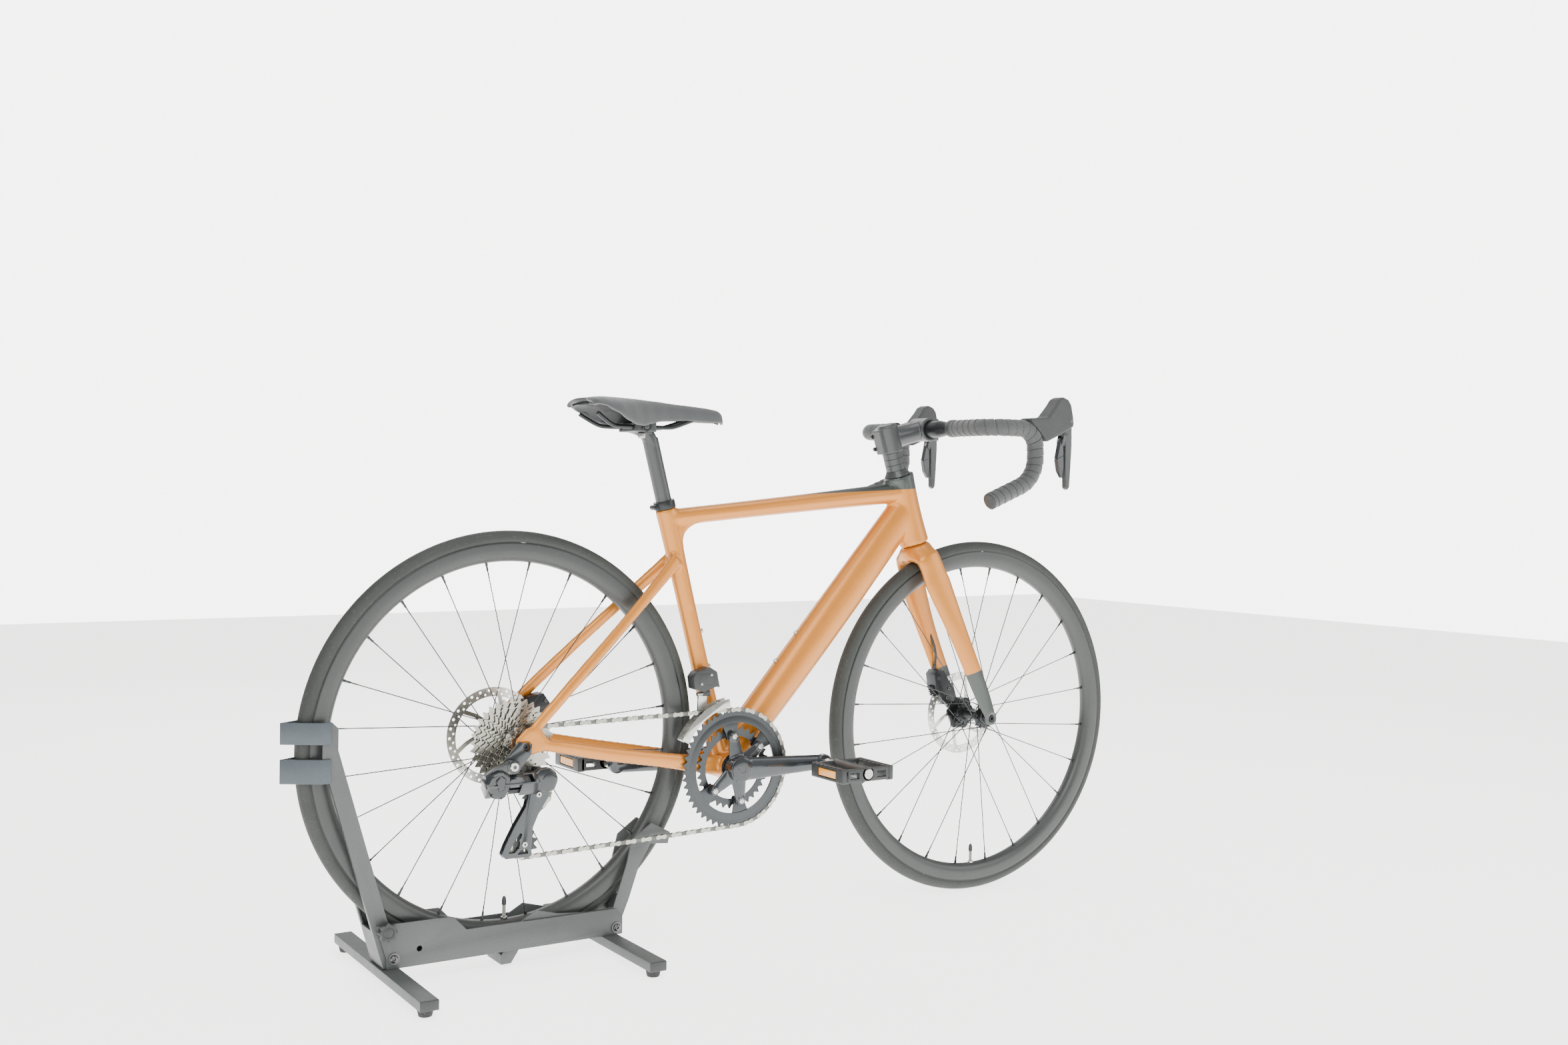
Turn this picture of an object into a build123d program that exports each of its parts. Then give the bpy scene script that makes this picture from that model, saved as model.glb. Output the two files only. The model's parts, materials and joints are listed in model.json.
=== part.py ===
from build123d import *
from math import acos, atan2, cos, hypot, pi, radians, sin, tan

# Road bicycle held upright by a folding floor stand. Millimetres, +X forward, +Y to the rider's
# left, +Z up. The ground is z = 0 and the bicycle's middle plane is y = 0.

# Wheels and layout
wheelbase = 976.0
tyre_radius = 339.0
tyre_width = 28.0
rim_depth = 31.0
rim_width = 27.0
tyre_height = 19.0
rear_rise = 22.0
spoke_count = 24
spoke_radius = 1.0
hook_reach = 361.0
hook_strip = 2.6

# Frame
stay_room = 66.0
bb_drop = 71.0
seat_angle = 75.2
seat_tube_length = 463.0
head_tilt = 17.5
head_length = 135.0
crown_room = 27.0
fork_offset = 45.0
post_radius = 13.6
steerer_radius = 14.3
bearing_radius = 20.5
spindle_radius = 12.0
cup_radius = 21.0
shell_radius = 24.5
shell_half = 43.0
rear_dropout = 71.0
front_dropout = 50.0
dropout_thickness = 7.0
axle_radius = 6.0

# Running parts
running_fit = 0.05
seat_gap = 0.3
chain_pitch = 12.7
ring_teeth = (50, 34)
sprocket_teeth = (11, 12, 13, 14, 16, 18, 20, 23, 26, 30, 34)
sprocket_pitch = 3.75
sprocket_thickness = 1.8
first_sprocket_y = -64.0
chain_sprocket = 2
pulley_teeth = 11
ring_y = -47.0
crank_length = 170.0
crank_inner_y = -58.0
crank_thickness = 15.0
pedal_width = 96.0
pedal_length = 110.0
rotor_radius = 80.0
rotor_thickness = 1.8

# Cockpit
stem_length = 85.0
bar_radius = 15.9
grip_radius = 15.0
bar_half = 200.0
bar_tip_radius = 11.9
lever_swing_pin = 2.5

# Saddle
saddle_length = 290.0
saddle_half = 71.0
rail_radius = 3.5
rail_spacing = 22.0

# Stand
rail_half = 33.0
sheet = 3.0
rail_top = 70.5
bar_tube_half = 201.5
bar_tube_width = 28.8
bar_tube_height = 15.6
foot_height = 11.5
rocker_half = 28.5
pivot_radius = 4.0

# Places worked out from the sizes above
rear_x = (hook_reach - wheelbase - tyre_radius) / 2
rear_z = tyre_radius + rear_rise
front_x = rear_x + wheelbase
front_z = tyre_radius
bb_x = rear_x + tyre_radius + stay_room
bb_z = rear_z - bb_drop
rim_outer = tyre_radius - tyre_height
rim_inner = rim_outer - rim_depth
tilt = radians(head_tilt)
rake = radians(seat_angle)
head_low = tyre_radius + crown_room
head_high = head_low + head_length
bar_tube_top = foot_height + bar_tube_height
cassette_y = [first_sprocket_y + i * sprocket_pitch for i in range(len(sprocket_teeth))]
chain_y = cassette_y[chain_sprocket]


def steer(up, ahead):
    # Point (x, z) measured up the steering axis from the front axle's level and ahead of it.
    foot_x = front_x - fork_offset * cos(tilt)
    foot_z = front_z - fork_offset * sin(tilt)
    return (foot_x - up * sin(tilt) + ahead * cos(tilt), foot_z + up * cos(tilt) + ahead * sin(tilt))


def seat(up, ahead):
    # Point (x, z) measured up the seat tube from the bottom bracket and ahead of it.
    return (bb_x - up * cos(rake) + ahead * sin(rake), bb_z + up * sin(rake) + ahead * cos(rake))


def rear(ahead, up):
    return (rear_x + ahead, rear_z + up)


def at(point, y):
    # Puts a side-view point (x, z) at the sideways place y.
    return (point[0], y, point[1])


def pitch_radius(teeth):
    return chain_pitch / (2 * sin(pi / teeth))


def side(y):
    # Sketch plane at y: its own x is world X and its own y is world Z.
    return Plane.XZ.offset(-y)


def plate(points, y_from, y_to, mode=Mode.ADD):
    with BuildSketch(side(y_from)) as outline:
        with BuildLine():
            Polyline(*points, close=True)
        make_face()
    extrude(outline.sketch, amount=y_from - y_to, mode=mode)


def disc(centre, radius, y_from, y_to, hole=0.0, mode=Mode.ADD):
    with BuildSketch(side(y_from)) as outline:
        with Locations(centre):
            Circle(radius)
            if hole:
                Circle(hole, mode=Mode.SUBTRACT)
    extrude(outline.sketch, amount=y_from - y_to, mode=mode)


def bar(start, end, radius, hole=0.0, mode=Mode.ADD):
    along = Vector(end) - Vector(start)
    with BuildSketch(Plane(origin=start, z_dir=along)) as outline:
        Circle(radius)
        if hole:
            Circle(hole, mode=Mode.SUBTRACT)
    extrude(outline.sketch, amount=along.length, mode=mode)


def limb(*stations, mode=Mode.ADD):
    # Loft through oval sections. A station is its centre, the way it faces, and its depth and width.
    faces = []
    for centre, facing, depth, width in stations:
        across = Vector(0, 1, 0).cross(Vector(facing))
        with BuildSketch(Plane(origin=centre, x_dir=across, z_dir=facing)) as outline:
            Ellipse(depth / 2, width / 2)
        faces.append(outline.sketch.face())
    loft(faces, mode=mode)


def hose(points, radii, outer, hole=0.0):
    # Round tube along straight runs joined by tangent arcs.
    with BuildLine() as route:
        FilletPolyline(*points, radius=radii)
    with BuildSketch(Plane(origin=route.line @ 0, z_dir=route.line % 0)) as section:
        Circle(outer)
        if hole:
            Circle(hole, mode=Mode.SUBTRACT)
    sweep(section.sketch, path=route.line)


def between(start, end):
    return tuple(Vector(end) - Vector(start))


up_steer = (-sin(tilt), 0, cos(tilt))
up_seat = (-cos(rake), 0, sin(rake))

# Stand

arm_pivot = (rear_x - 194, 43)
knob_at = (rear_x - 207, 88)
rocker_pivot = (rear_x + 187, 39)
bar_tube_x = (rear_x - 199, rear_x + 175)

with BuildPart() as stand_rails:
    rail_outline = [
        (rear_x - 181, bar_tube_top),
        (rear_x + 198, bar_tube_top),
        (rear_x + 198, rail_top - 15),
        (rear_x + 184, rail_top),
        (rear_x - 76, rail_top + 1),
        (rear_x - 98, rail_top + 24),
        (rear_x - 189, rail_top + 26),
        (rear_x - 222, rail_top + 26),
        (rear_x - 205, bar_tube_top + 16),
        (rear_x - 205, bar_tube_top),
    ]
    for hand in (-1, 1):
        plate(rail_outline, hand * rail_half, hand * (rail_half - sheet))
    # The web joins the two sides under the wheel, with a window for the rocker's tail.
    plate(
        [
            (rear_x - 176, bar_tube_top),
            (rear_x + 198, bar_tube_top),
            (rear_x + 198, bar_tube_top + sheet),
            (rear_x - 176, bar_tube_top + sheet),
        ],
        rail_half - sheet,
        sheet - rail_half,
    )
    with Locations((rear_x + 43, 0, bar_tube_top + sheet / 2)):
        Box(270, 2 * (rocker_half + 0.8), 3 * sheet, mode=Mode.SUBTRACT)
    for centre in (arm_pivot, knob_at, rocker_pivot):
        disc(centre, pivot_radius + running_fit, rail_half + 1, -rail_half - 1, mode=Mode.SUBTRACT)
    disc((rear_x - 153, 53), 4.5, rail_half + 1, -rail_half - 1, mode=Mode.SUBTRACT)
stand_rails.part.label = "stand_rails"
export_step(stand_rails.part, "parts/stand_rails.step")

with BuildPart() as stand_crossbars:
    for x in bar_tube_x:
        with Locations((x, 0, foot_height + bar_tube_height / 2)):
            Box(bar_tube_width, 2 * bar_tube_half, bar_tube_height)
            Box(bar_tube_width - 4, 2 * bar_tube_half + 1, bar_tube_height - 4, mode=Mode.SUBTRACT)
stand_crossbars.part.label = "stand_crossbars"
export_step(stand_crossbars.part, "parts/stand_crossbars.step")

with BuildPart() as stand_end_caps:
    for x in bar_tube_x:
        for hand in (-1, 1):
            with Locations((x, hand * (bar_tube_half + 1.25), foot_height + bar_tube_height / 2)):
                Box(bar_tube_width, 2.5, bar_tube_height)
            with Locations((x, hand * (bar_tube_half - 6), foot_height + bar_tube_height / 2)):
                Box(bar_tube_width - 5, 12, bar_tube_height - 5)
stand_end_caps.part.label = "stand_end_caps"
export_step(stand_end_caps.part, "parts/stand_end_caps.step")

with BuildPart() as stand_feet:
    for x in bar_tube_x:
        for hand in (-1, 1):
            with BuildSketch(Plane((x, hand * (bar_tube_half - 16), 0))) as sole:
                Circle(10)
            with BuildSketch(Plane((x, hand * (bar_tube_half - 16), foot_height))) as top:
                Circle(12.5)
            loft([sole.sketch.face(), top.sketch.face()])
stand_feet.part.label = "stand_feet"
export_step(stand_feet.part, "parts/stand_feet.step")

# Pivot bolts run right across, with a button head on the right and a lock nut on the left.
with BuildPart() as stand_bolts:
    for centre in (arm_pivot, rocker_pivot):
        bar(at(centre, -rail_half - 1.5), at(centre, rail_half + 1.5), pivot_radius)
        disc(centre, 9, -rail_half - 0.1, -rail_half - 1.5)
        disc(centre, 6.5, -rail_half - 1.5, -rail_half - 5)
        disc(centre, 9, rail_half + 1.5, rail_half + 0.1)
        with BuildSketch(side(rail_half + 7)) as nut:
            with Locations(centre):
                RegularPolygon(6.5, 6)
        extrude(nut.sketch, amount=5.5)
stand_bolts.part.label = "stand_bolts"
export_step(stand_bolts.part, "parts/stand_bolts.step")

# Rear arm: folded channel whose web faces backwards, slotted where the tyre passes through it.
arm_inner = rail_half - sheet
arm_lean = atan2(96, 331)
arm_foot = (rear_x - 209.3, bar_tube_top + 1.2)
arm_top_z = rear_z + 52


def arm(up, ahead):
    # Point (x, z) up the folded back edge of the arm and ahead of it.
    return (
        arm_foot[0] - up * sin(arm_lean) + ahead * cos(arm_lean),
        arm_foot[1] + up * cos(arm_lean) + ahead * sin(arm_lean),
    )


arm_length = (rear_z - 2 - arm_foot[1]) / cos(arm_lean)
with BuildPart() as rear_arm:
    flange = [
        arm(0, 0),
        (arm_foot[0] + 15, arm_foot[1]),
        (arm_foot[0] + 24, arm_foot[1] + 9),
        (arm_foot[0] + 24, arm_foot[1] + 22),
        arm(76, 26),
        arm(arm_length + 4, 26),
        (arm(arm_length + 4, 26)[0], arm_top_z - 10),
        (arm(arm_length + 4, 26)[0] - 10, arm_top_z),
        (arm(arm_length, 0)[0] + 1, arm_top_z),
        arm(arm_length, 0),
    ]
    for hand in (-1, 1):
        plate(flange, hand * (arm_inner - 0.4), hand * (arm_inner - 0.4 - sheet))
    web = [arm(0, 0), arm(0, sheet), arm(arm_length, sheet), arm(arm_length, 0)]
    plate(web, arm_inner - 0.4, 0.4 - arm_inner)
    slot = [arm(62, -2), arm(62, sheet + 2), arm(arm_length + 9, sheet + 2), arm(arm_length + 9, -2)]
    plate(slot, tyre_width / 2 + 7, -tyre_width / 2 - 7, mode=Mode.SUBTRACT)
    disc(arm_pivot, pivot_radius + running_fit, arm_inner, -arm_inner, mode=Mode.SUBTRACT)
    disc(knob_at, pivot_radius + running_fit, arm_inner, -arm_inner, mode=Mode.SUBTRACT)
rear_arm.part.label = "rear_arm"
export_step(rear_arm.part, "parts/rear_arm.step")

# Two hooks, each a strip folded to a V in plan, close behind the tyre, on the arm's outer faces.
hook_root = arm(arm_length, 0)[0] - 1.5
hook_tip = rear_x - hook_reach
hook_half = arm_inner - 0.4 + 0.1 + hook_strip
vee_angle = atan2(hook_half, hook_root - hook_tip)
inner_tip = hook_tip + hook_strip / sin(vee_angle)
inner_half = hook_half - hook_strip
inner_root = inner_tip + inner_half / tan(vee_angle)
with BuildPart() as arm_hooks:
    for low, high in ((rear_z + 19, rear_z + 52), (rear_z - 40, rear_z - 3)):
        with BuildSketch(Plane.XY.offset(low)) as vee:
            with BuildLine():
                Polyline(
                    (hook_root + 14, hook_half), (hook_root, hook_half), (hook_tip, 0),
                    (hook_root, -hook_half), (hook_root + 14, -hook_half),
                    (hook_root + 14, -inner_half), (inner_root, -inner_half), (inner_tip, 0),
                    (inner_root, inner_half), (hook_root + 14, inner_half), close=True,
                )
            make_face()
        extrude(vee.sketch, amount=high - low)
arm_hooks.part.label = "arm_hooks"
export_step(arm_hooks.part, "parts/arm_hooks.step")

# Screw knob that locks the arm, with eight lobes round its rim.
with BuildPart() as lock_knob:
    with BuildSketch(side(-rail_half - 3)) as knob_face:
        with Locations(knob_at):
            Circle(12.5)
            with PolarLocations(12.0, 8):
                Circle(3.2)
    extrude(knob_face.sketch, amount=11)
    disc(knob_at, 8.5, -rail_half - 0.3, -rail_half - 3)
    disc(knob_at, pivot_radius, -rail_half + sheet + 6, -rail_half - 3)
lock_knob.part.label = "lock_knob"
export_step(lock_knob.part, "parts/lock_knob.step")

# Rocker: two cheeks inside the rails. Its tail carries the tyre and its tall end stands beside it.
with BuildPart() as front_rocker:
    px, pz = rocker_pivot
    cheek = [
        (px - 203, 5.5), (px - 186, 5.5), (px - 176, 20), (px - 170, 31), (px - 12, 31), (px + 2, 31),
        (px + 13, pz + 15), (px + 25, pz + 44), (px + 44, pz + 99), (px + 65, pz + 132),
        (px + 98, pz + 129), (px + 102, pz + 148), (px + 66, pz + 167), (px + 30, pz + 142),
        (px + 20, pz + 102), (px - 4, pz + 33), (px - 50, pz + 31), (px - 105, pz + 36),
        (px - 143, pz + 46), (px - 168, pz + 32), (px - 203, 20),
    ]
    for hand in (-1, 1):
        plate(cheek, hand * rocker_half, hand * (rocker_half - sheet))
    inner = rocker_half - sheet
    tail_top = rear_rise - 0.1
    plate(
        [
            (px - 203, tail_top - sheet), (px - 180, tail_top - sheet), (px - 180, tail_top),
            (px - 203, tail_top),
        ],
        inner, -inner,
    )
    plate([(px - 203, 5.5), (px - 200, 5.5), (px - 200, 20), (px - 203, 20)], inner, -inner)
    plate(
        [(px + 13, pz + 15), (px + 25, pz + 44), (px + 22, pz + 45), (px + 10, pz + 16)],
        inner, -inner,
    )
    disc(rocker_pivot, pivot_radius + running_fit, rocker_half + 1, -rocker_half - 1, mode=Mode.SUBTRACT)
front_rocker.part.label = "front_rocker"
export_step(front_rocker.part, "parts/front_rocker.step")

# Wheels

hub_half = {"rear": rear_dropout - 0.1, "front": front_dropout - 0.1}
flange_y = {"rear": (-19.0, 34.0), "front": (-32.0, 24.0)}
flange_radius = 21.0
rotor_y = {"rear": 54.0, "front": 39.5}
hub_centre = {"rear": (rear_x, rear_z), "front": (front_x, front_z)}
freehub_radius = 17.0
valve_hole = 3.2
rotor_arm = [(-0.12, 29), (0.14, 48), (0.30, 66.5), (0.42, 66.5), (0.30, 48), (0.12, 29)]

for end in ("rear", "front"):
    cx, cz = hub_centre[end]
    turned_about = Axis((cx, 0, cz), (0, 1, 0))
    radial = Plane(origin=(cx, 0, cz), x_dir=(0, 0, -1), z_dir=(-1, 0, 0))

    with BuildPart() as tyre:
        with BuildSketch(radial):
            with Locations((tyre_radius - tyre_width / 2, 0)):
                Circle(tyre_width / 2)
                Circle(tyre_width / 2 - 2.5, mode=Mode.SUBTRACT)
            with Locations((rim_outer - tyre_width / 2 + 0.1, 0)):
                Rectangle(tyre_width, 2 * tyre_width, mode=Mode.SUBTRACT)
        revolve(axis=turned_about)
    tyre.part.label = f"{end}_tyre"
    export_step(tyre.part, f"parts/{end}_tyre.step")

    with BuildPart() as rim:
        with BuildSketch(radial) as rim_section:
            with BuildLine():
                half = rim_width / 2
                Line((rim_outer, half), (rim_outer - 12, half + 0.5))
                Line((rim_outer, -half), (rim_outer - 12, -half - 0.5))
                Spline(
                    (rim_outer - 12, half + 0.5), (rim_inner, 0), (rim_outer - 12, -half - 0.5),
                    tangents=[(-1, 0), (1, 0)],
                )
                Polyline((rim_outer, half), (rim_outer, half - 3), (rim_outer - 6, half - 5))
                Polyline((rim_outer, -half), (rim_outer, 3 - half), (rim_outer - 6, 5 - half))
                Line((rim_outer - 6, half - 5), (rim_outer - 6, 5 - half))
            make_face()
        revolve(axis=turned_about)
        bar((cx, 0, cz - rim_inner + 1), (cx, 0, cz - rim_outer - 1), valve_hole, mode=Mode.SUBTRACT)
        # The valve stands in the rim's hole and shows inside it, with a cap on its end.
        valve_z = cz - rim_inner
        bar((cx, 0, valve_z - rim_depth + 2), (cx, 0, valve_z + 26), valve_hole - 0.1)
        bar((cx, 0, valve_z + 26), (cx, 0, valve_z + 36), 3.8)
    rim.part.label = f"{end}_rim"
    export_step(rim.part, f"parts/{end}_rim.step")

    # Spokes cross in pairs. Each ends in its nipple just inside the rim.
    with BuildPart() as spokes:
        for i in range(spoke_count):
            flange = flange_y[end][i % 2]
            rim_turn = 2 * pi * (i + 0.5) / spoke_count
            hub_turn = rim_turn + radians(56) * (1 if (i // 2) % 2 else -1)
            inboard = 1.3 if (i // 2) % 2 else -1.3
            hub_end = (
                cx + (flange_radius + seat_gap + 1) * sin(hub_turn),
                flange + inboard,
                cz - (flange_radius + seat_gap + 1) * cos(hub_turn),
            )
            nip_r = rim_inner - 1.0
            rim_end = (cx + nip_r * sin(rim_turn), 0, cz - nip_r * cos(rim_turn))
            along = Vector(rim_end) - Vector(hub_end)
            knee = Vector(rim_end) - along.normalized() * 12
            bar(hub_end, tuple(knee), spoke_radius)
            bar(tuple(knee), rim_end, 1.9)
    spokes.part.label = f"{end}_spokes"
    export_step(spokes.part, f"parts/{end}_spokes.step")

    with BuildPart() as hub:
        span = hub_half[end]
        disc((cx, cz), 13, flange_y[end][0], flange_y[end][1])
        for flange in flange_y[end]:
            disc((cx, cz), flange_radius, flange - 2.8, flange + 2.8)
        disc((cx, cz), 9.5, -span, span)
        disc((cx, cz), 16.5, flange_y[end][1], rotor_y[end] + 4.5)
        disc((cx, cz), axle_radius + running_fit, -span - 1, span + 1, mode=Mode.SUBTRACT)
    hub.part.label = f"{end}_hub"
    export_step(hub.part, f"parts/{end}_hub.step")

    # Brake disc: a drilled band, six swept arms and a splined centre.
    ry = rotor_y[end]
    with BuildPart() as rotor:
        disc((cx, cz), rotor_radius, ry - rotor_thickness / 2, ry + rotor_thickness / 2,
             hole=rotor_radius - 15)
        disc((cx, cz), 31, ry - rotor_thickness / 2, ry + rotor_thickness / 2, hole=16.6)
        with BuildSketch(side(ry + rotor_thickness / 2)) as arms:
            for i in range(6):
                arm_turn = i * pi / 3
                spots = [(rotor_turn + arm_turn, reach) for rotor_turn, reach in rotor_arm]
                with BuildLine():
                    Polyline([(cx + r * cos(t), cz + r * sin(t)) for t, r in spots], close=True)
                make_face()
        extrude(arms.sketch, amount=rotor_thickness)
        with BuildSketch(side(ry + rotor_thickness)) as drilled:
            with Locations((cx, cz)):
                with PolarLocations(rotor_radius - 5, 30):
                    Circle(2.4)
                with PolarLocations(rotor_radius - 11, 30, start_angle=6):
                    Circle(1.9)
        extrude(drilled.sketch, amount=2 * rotor_thickness, mode=Mode.SUBTRACT)
    rotor.part.label = f"{end}_rotor"
    export_step(rotor.part, f"parts/{end}_rotor.step")

# Frame

dropout_mid = rear_dropout + dropout_thickness / 2

with BuildPart() as frame:
    # Head tube, top tube, down tube and seat tube.
    limb(
        (at(steer(head_low, 2), 0), up_steer, 60, 50),
        (at(steer(head_low + head_length / 2, 1), 0), up_steer, 58, 46),
        (at(steer(head_high, 1), 0), up_steer, 64, 50),
    )
    top_start, top_end = at(seat(445, 6), 0), at(steer(head_high - 31, -8), 0)
    top_way = between(top_start, top_end)
    top_mid = tuple((Vector(top_start) + Vector(top_end)) / 2)
    limb((top_start, top_way, 30, 32), (top_mid, top_way, 32, 38), (top_end, top_way, 39, 42))
    down_start, down_end = (bb_x, 0, bb_z), at(steer(head_low + 66, -8), 0)
    down_way = between(down_start, down_end)
    down_mid = tuple((Vector(down_start) + Vector(down_end)) / 2 + Vector(2, 0, -2))
    limb((down_start, down_way, 60, 56), (down_mid, down_way, 71, 48), (down_end, down_way, 66, 42))
    limb(
        (at(seat(0, 0), 0), up_seat, 36, 52),
        (at(seat(150, 0), 0), up_seat, 32, 34),
        (at(seat(seat_tube_length, 0), 0), up_seat, 37, 33.5),
    )
    bar((bb_x, -shell_half, bb_z), (bb_x, shell_half, bb_z), shell_radius)
    # Gusset that rounds the corner under the top tube.
    top_line = Vector(top_way).normalized()
    below = Vector(0, 1, 0).cross(top_line)
    corner_low = Vector(at(seat(388, 14), 0))
    corner_far = Vector(top_start) + top_line * 60 + below * 13
    corner = Vector(at(seat(428, 15), 0))
    bend = []
    for share in (0, 0.2, 0.4, 0.6, 0.8, 1):
        spot = corner_low * (1 - share) ** 2 + corner * (2 * share * (1 - share)) + corner_far * share ** 2
        bend.append((spot.X, spot.Z))
    plate([seat(388, 4), *bend, (corner_far.X, corner_far.Z + 10), seat(445, 4)], 11, -11)
    # Dropped seat stays and deep chain stays, one on each side.
    for hand in (-1, 1):
        stay_top = at(seat(374, -6), hand * 12)
        stay_bend = at(seat(352, -48), hand * 23.5)
        stay_low = at(rear(95, 99), hand * 62)
        stay_foot = at(rear(14, 22), hand * (dropout_mid - 1))
        limb(
            (stay_top, between(stay_top, stay_bend), 27, 16),
            (stay_bend, between(stay_top, stay_low), 23, 14),
            (stay_low, between(stay_bend, stay_foot), 21, 12),
            (stay_foot, between(stay_low, stay_foot), 19, 9),
        )
        chain_stay = (
            (bb_x - 22, hand * 27, bb_z + 4, 36, 14),
            (bb_x - 68, hand * 30.5, bb_z + 10, 32, 13),
            (bb_x - 104, hand * 38, bb_z + 17, 29, 13),
            (bb_x - 165, hand * 50, bb_z + 29, 26, 13),
            (rear_x + 95, hand * 68.5, rear_z - 13, 23, 11),
            (rear_x + 20, hand * (dropout_mid - 1), rear_z + 1, 20, 9),
        )
        stations = []
        for i, (x, y, z, depth, width) in enumerate(chain_stay):
            before, after = chain_stay[max(i - 1, 0)], chain_stay[min(i + 1, 5)]
            stations.append(((x, y, z), between(before[:3], after[:3]), depth, width))
        limb(*stations)
        dropout = [
            rear(-15, 12), rear(4, 30), rear(28, 24), rear(40, 10), rear(40, -8), rear(12, -14),
            rear(-8, -16), rear(-15, -6),
        ]
        plate(dropout, hand * (rear_dropout + dropout_thickness), hand * rear_dropout)
    # Room for the wheel, the hub, the bearings, the steerer, the seat post and the axle.
    bar((rear_x, -rear_dropout, rear_z), (rear_x, rear_dropout, rear_z), 30, mode=Mode.SUBTRACT)
    bar((bb_x, -60, bb_z), (bb_x, 60, bb_z), cup_radius, mode=Mode.SUBTRACT)
    bar(at(steer(head_low - 5, 0), 0), at(steer(head_high + 5, 0), 0), bearing_radius, mode=Mode.SUBTRACT)
    bar(at(seat(215, 0), 0), at(seat(480, 0), 0), post_radius + running_fit, mode=Mode.SUBTRACT)
    bar((rear_x, -90, rear_z), (rear_x, 90, rear_z), axle_radius + running_fit, mode=Mode.SUBTRACT)
frame.part.label = "frame"
export_step(frame.part, "parts/frame.step")

with BuildPart() as seat_collar:
    bar(at(seat(seat_tube_length + 0.1, 0), 0), at(seat(seat_tube_length + 13, 0), 0), 18.5,
        hole=post_radius + running_fit)
    bar(at(seat(seat_tube_length + 6.5, -20), -9), at(seat(seat_tube_length + 6.5, -20), 9), 4.5)
    bar(at(seat(seat_tube_length - 1, 0), 0), at(seat(seat_tube_length + 15, 0), 0),
        post_radius + running_fit, mode=Mode.SUBTRACT)
seat_collar.part.label = "seat_collar"
export_step(seat_collar.part, "parts/seat_collar.step")

with BuildPart() as bottle_bolts:
    down = Vector(down_way).normalized()
    outward = Vector(0, 1, 0).cross(down) * -1
    for reach in (205, 270):
        spot = Vector(down_start) + down * reach
        bar(tuple(spot + outward * 28), tuple(spot + outward * 36), 4.2)
    for reach in (175, 239):
        bar(at(seat(reach, post_radius + 1), 0), at(seat(reach, 19.2), 0), 4.2)
    add(frame.part, mode=Mode.SUBTRACT)
bottle_bolts.part.label = "bottle_bolts"
export_step(bottle_bolts.part, "parts/bottle_bolts.step")

# Bearings pressed into the frame: two at the bottom bracket and two in the head tube.
with BuildPart() as frame_bearings:
    for hand in (-1, 1):
        bar((bb_x, hand * (shell_half - 9), bb_z), (bb_x, hand * (shell_half + 1), bb_z), cup_radius - 0.02,
            hole=spindle_radius + running_fit)
        disc((bb_x, bb_z), shell_radius + 0.5, hand * (shell_half + 0.1), hand * (shell_half + 3.4),
             hole=spindle_radius + running_fit)
    for up in (head_low + 0.5, head_high - 8.5):
        bar(at(steer(up, 0), 0), at(steer(up + 8, 0), 0), bearing_radius - 0.02,
            hole=steerer_radius + running_fit)
frame_bearings.part.label = "frame_bearings"
export_step(frame_bearings.part, "parts/frame_bearings.step")

with BuildPart() as rear_axle:
    outer = rear_dropout + dropout_thickness
    bar((rear_x, -outer - 0.5, rear_z), (rear_x, outer, rear_z), axle_radius)
    disc((rear_x, rear_z), 9, outer + 3.5, outer + 0.1)
rear_axle.part.label = "rear_axle"
export_step(rear_axle.part, "parts/rear_axle.step")

# Drivetrain

chain_half = 4.1
chain_width = 5.2
guide_at = rear(30, -80)
tension_at = rear(6.8, -157.6)
cage_pivot = rear(34, -53)


def root_radius(teeth):
    # Radius that clears the inside of the chain.
    return pitch_radius(teeth) - chain_half - 0.3


with BuildPart() as cassette:
    for y, teeth in zip(cassette_y, sprocket_teeth):
        disc((rear_x, rear_z), root_radius(teeth), y + sprocket_thickness / 2,
             y - sprocket_thickness / 2, hole=16)
    disc((rear_x, rear_z), freehub_radius - 0.5, first_sprocket_y - 1, cassette_y[-1] + 3)
    disc((rear_x, rear_z), 15.5, first_sprocket_y - 1, first_sprocket_y - 3.4)
    disc((rear_x, rear_z), 9.5 + running_fit, 0, -90, mode=Mode.SUBTRACT)
cassette.part.label = "cassette"
export_step(cassette.part, "parts/cassette.step")

# The chain runs from the sprocket over the chainring and back through the two jockey wheels.
# A wheel's sign tells which way the chain turns round it.
chain_wheels = [
    ((rear_x, rear_z), pitch_radius(sprocket_teeth[chain_sprocket]), chain_y),
    ((bb_x, bb_z), pitch_radius(ring_teeth[0]), ring_y),
    (tension_at, pitch_radius(pulley_teeth), chain_y),
    (guide_at, -pitch_radius(pulley_teeth), chain_y),
]


def tangent_points(first, second):
    (x1, z1), r1, _ = first
    (x2, z2), r2, _ = second
    turn = atan2(z2 - z1, x2 - x1) + acos((r1 - r2) / hypot(x2 - x1, z2 - z1))
    left = (cos(turn), sin(turn))
    return (x1 + r1 * left[0], z1 + r1 * left[1]), (x2 + r2 * left[0], z2 + r2 * left[1])


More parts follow.
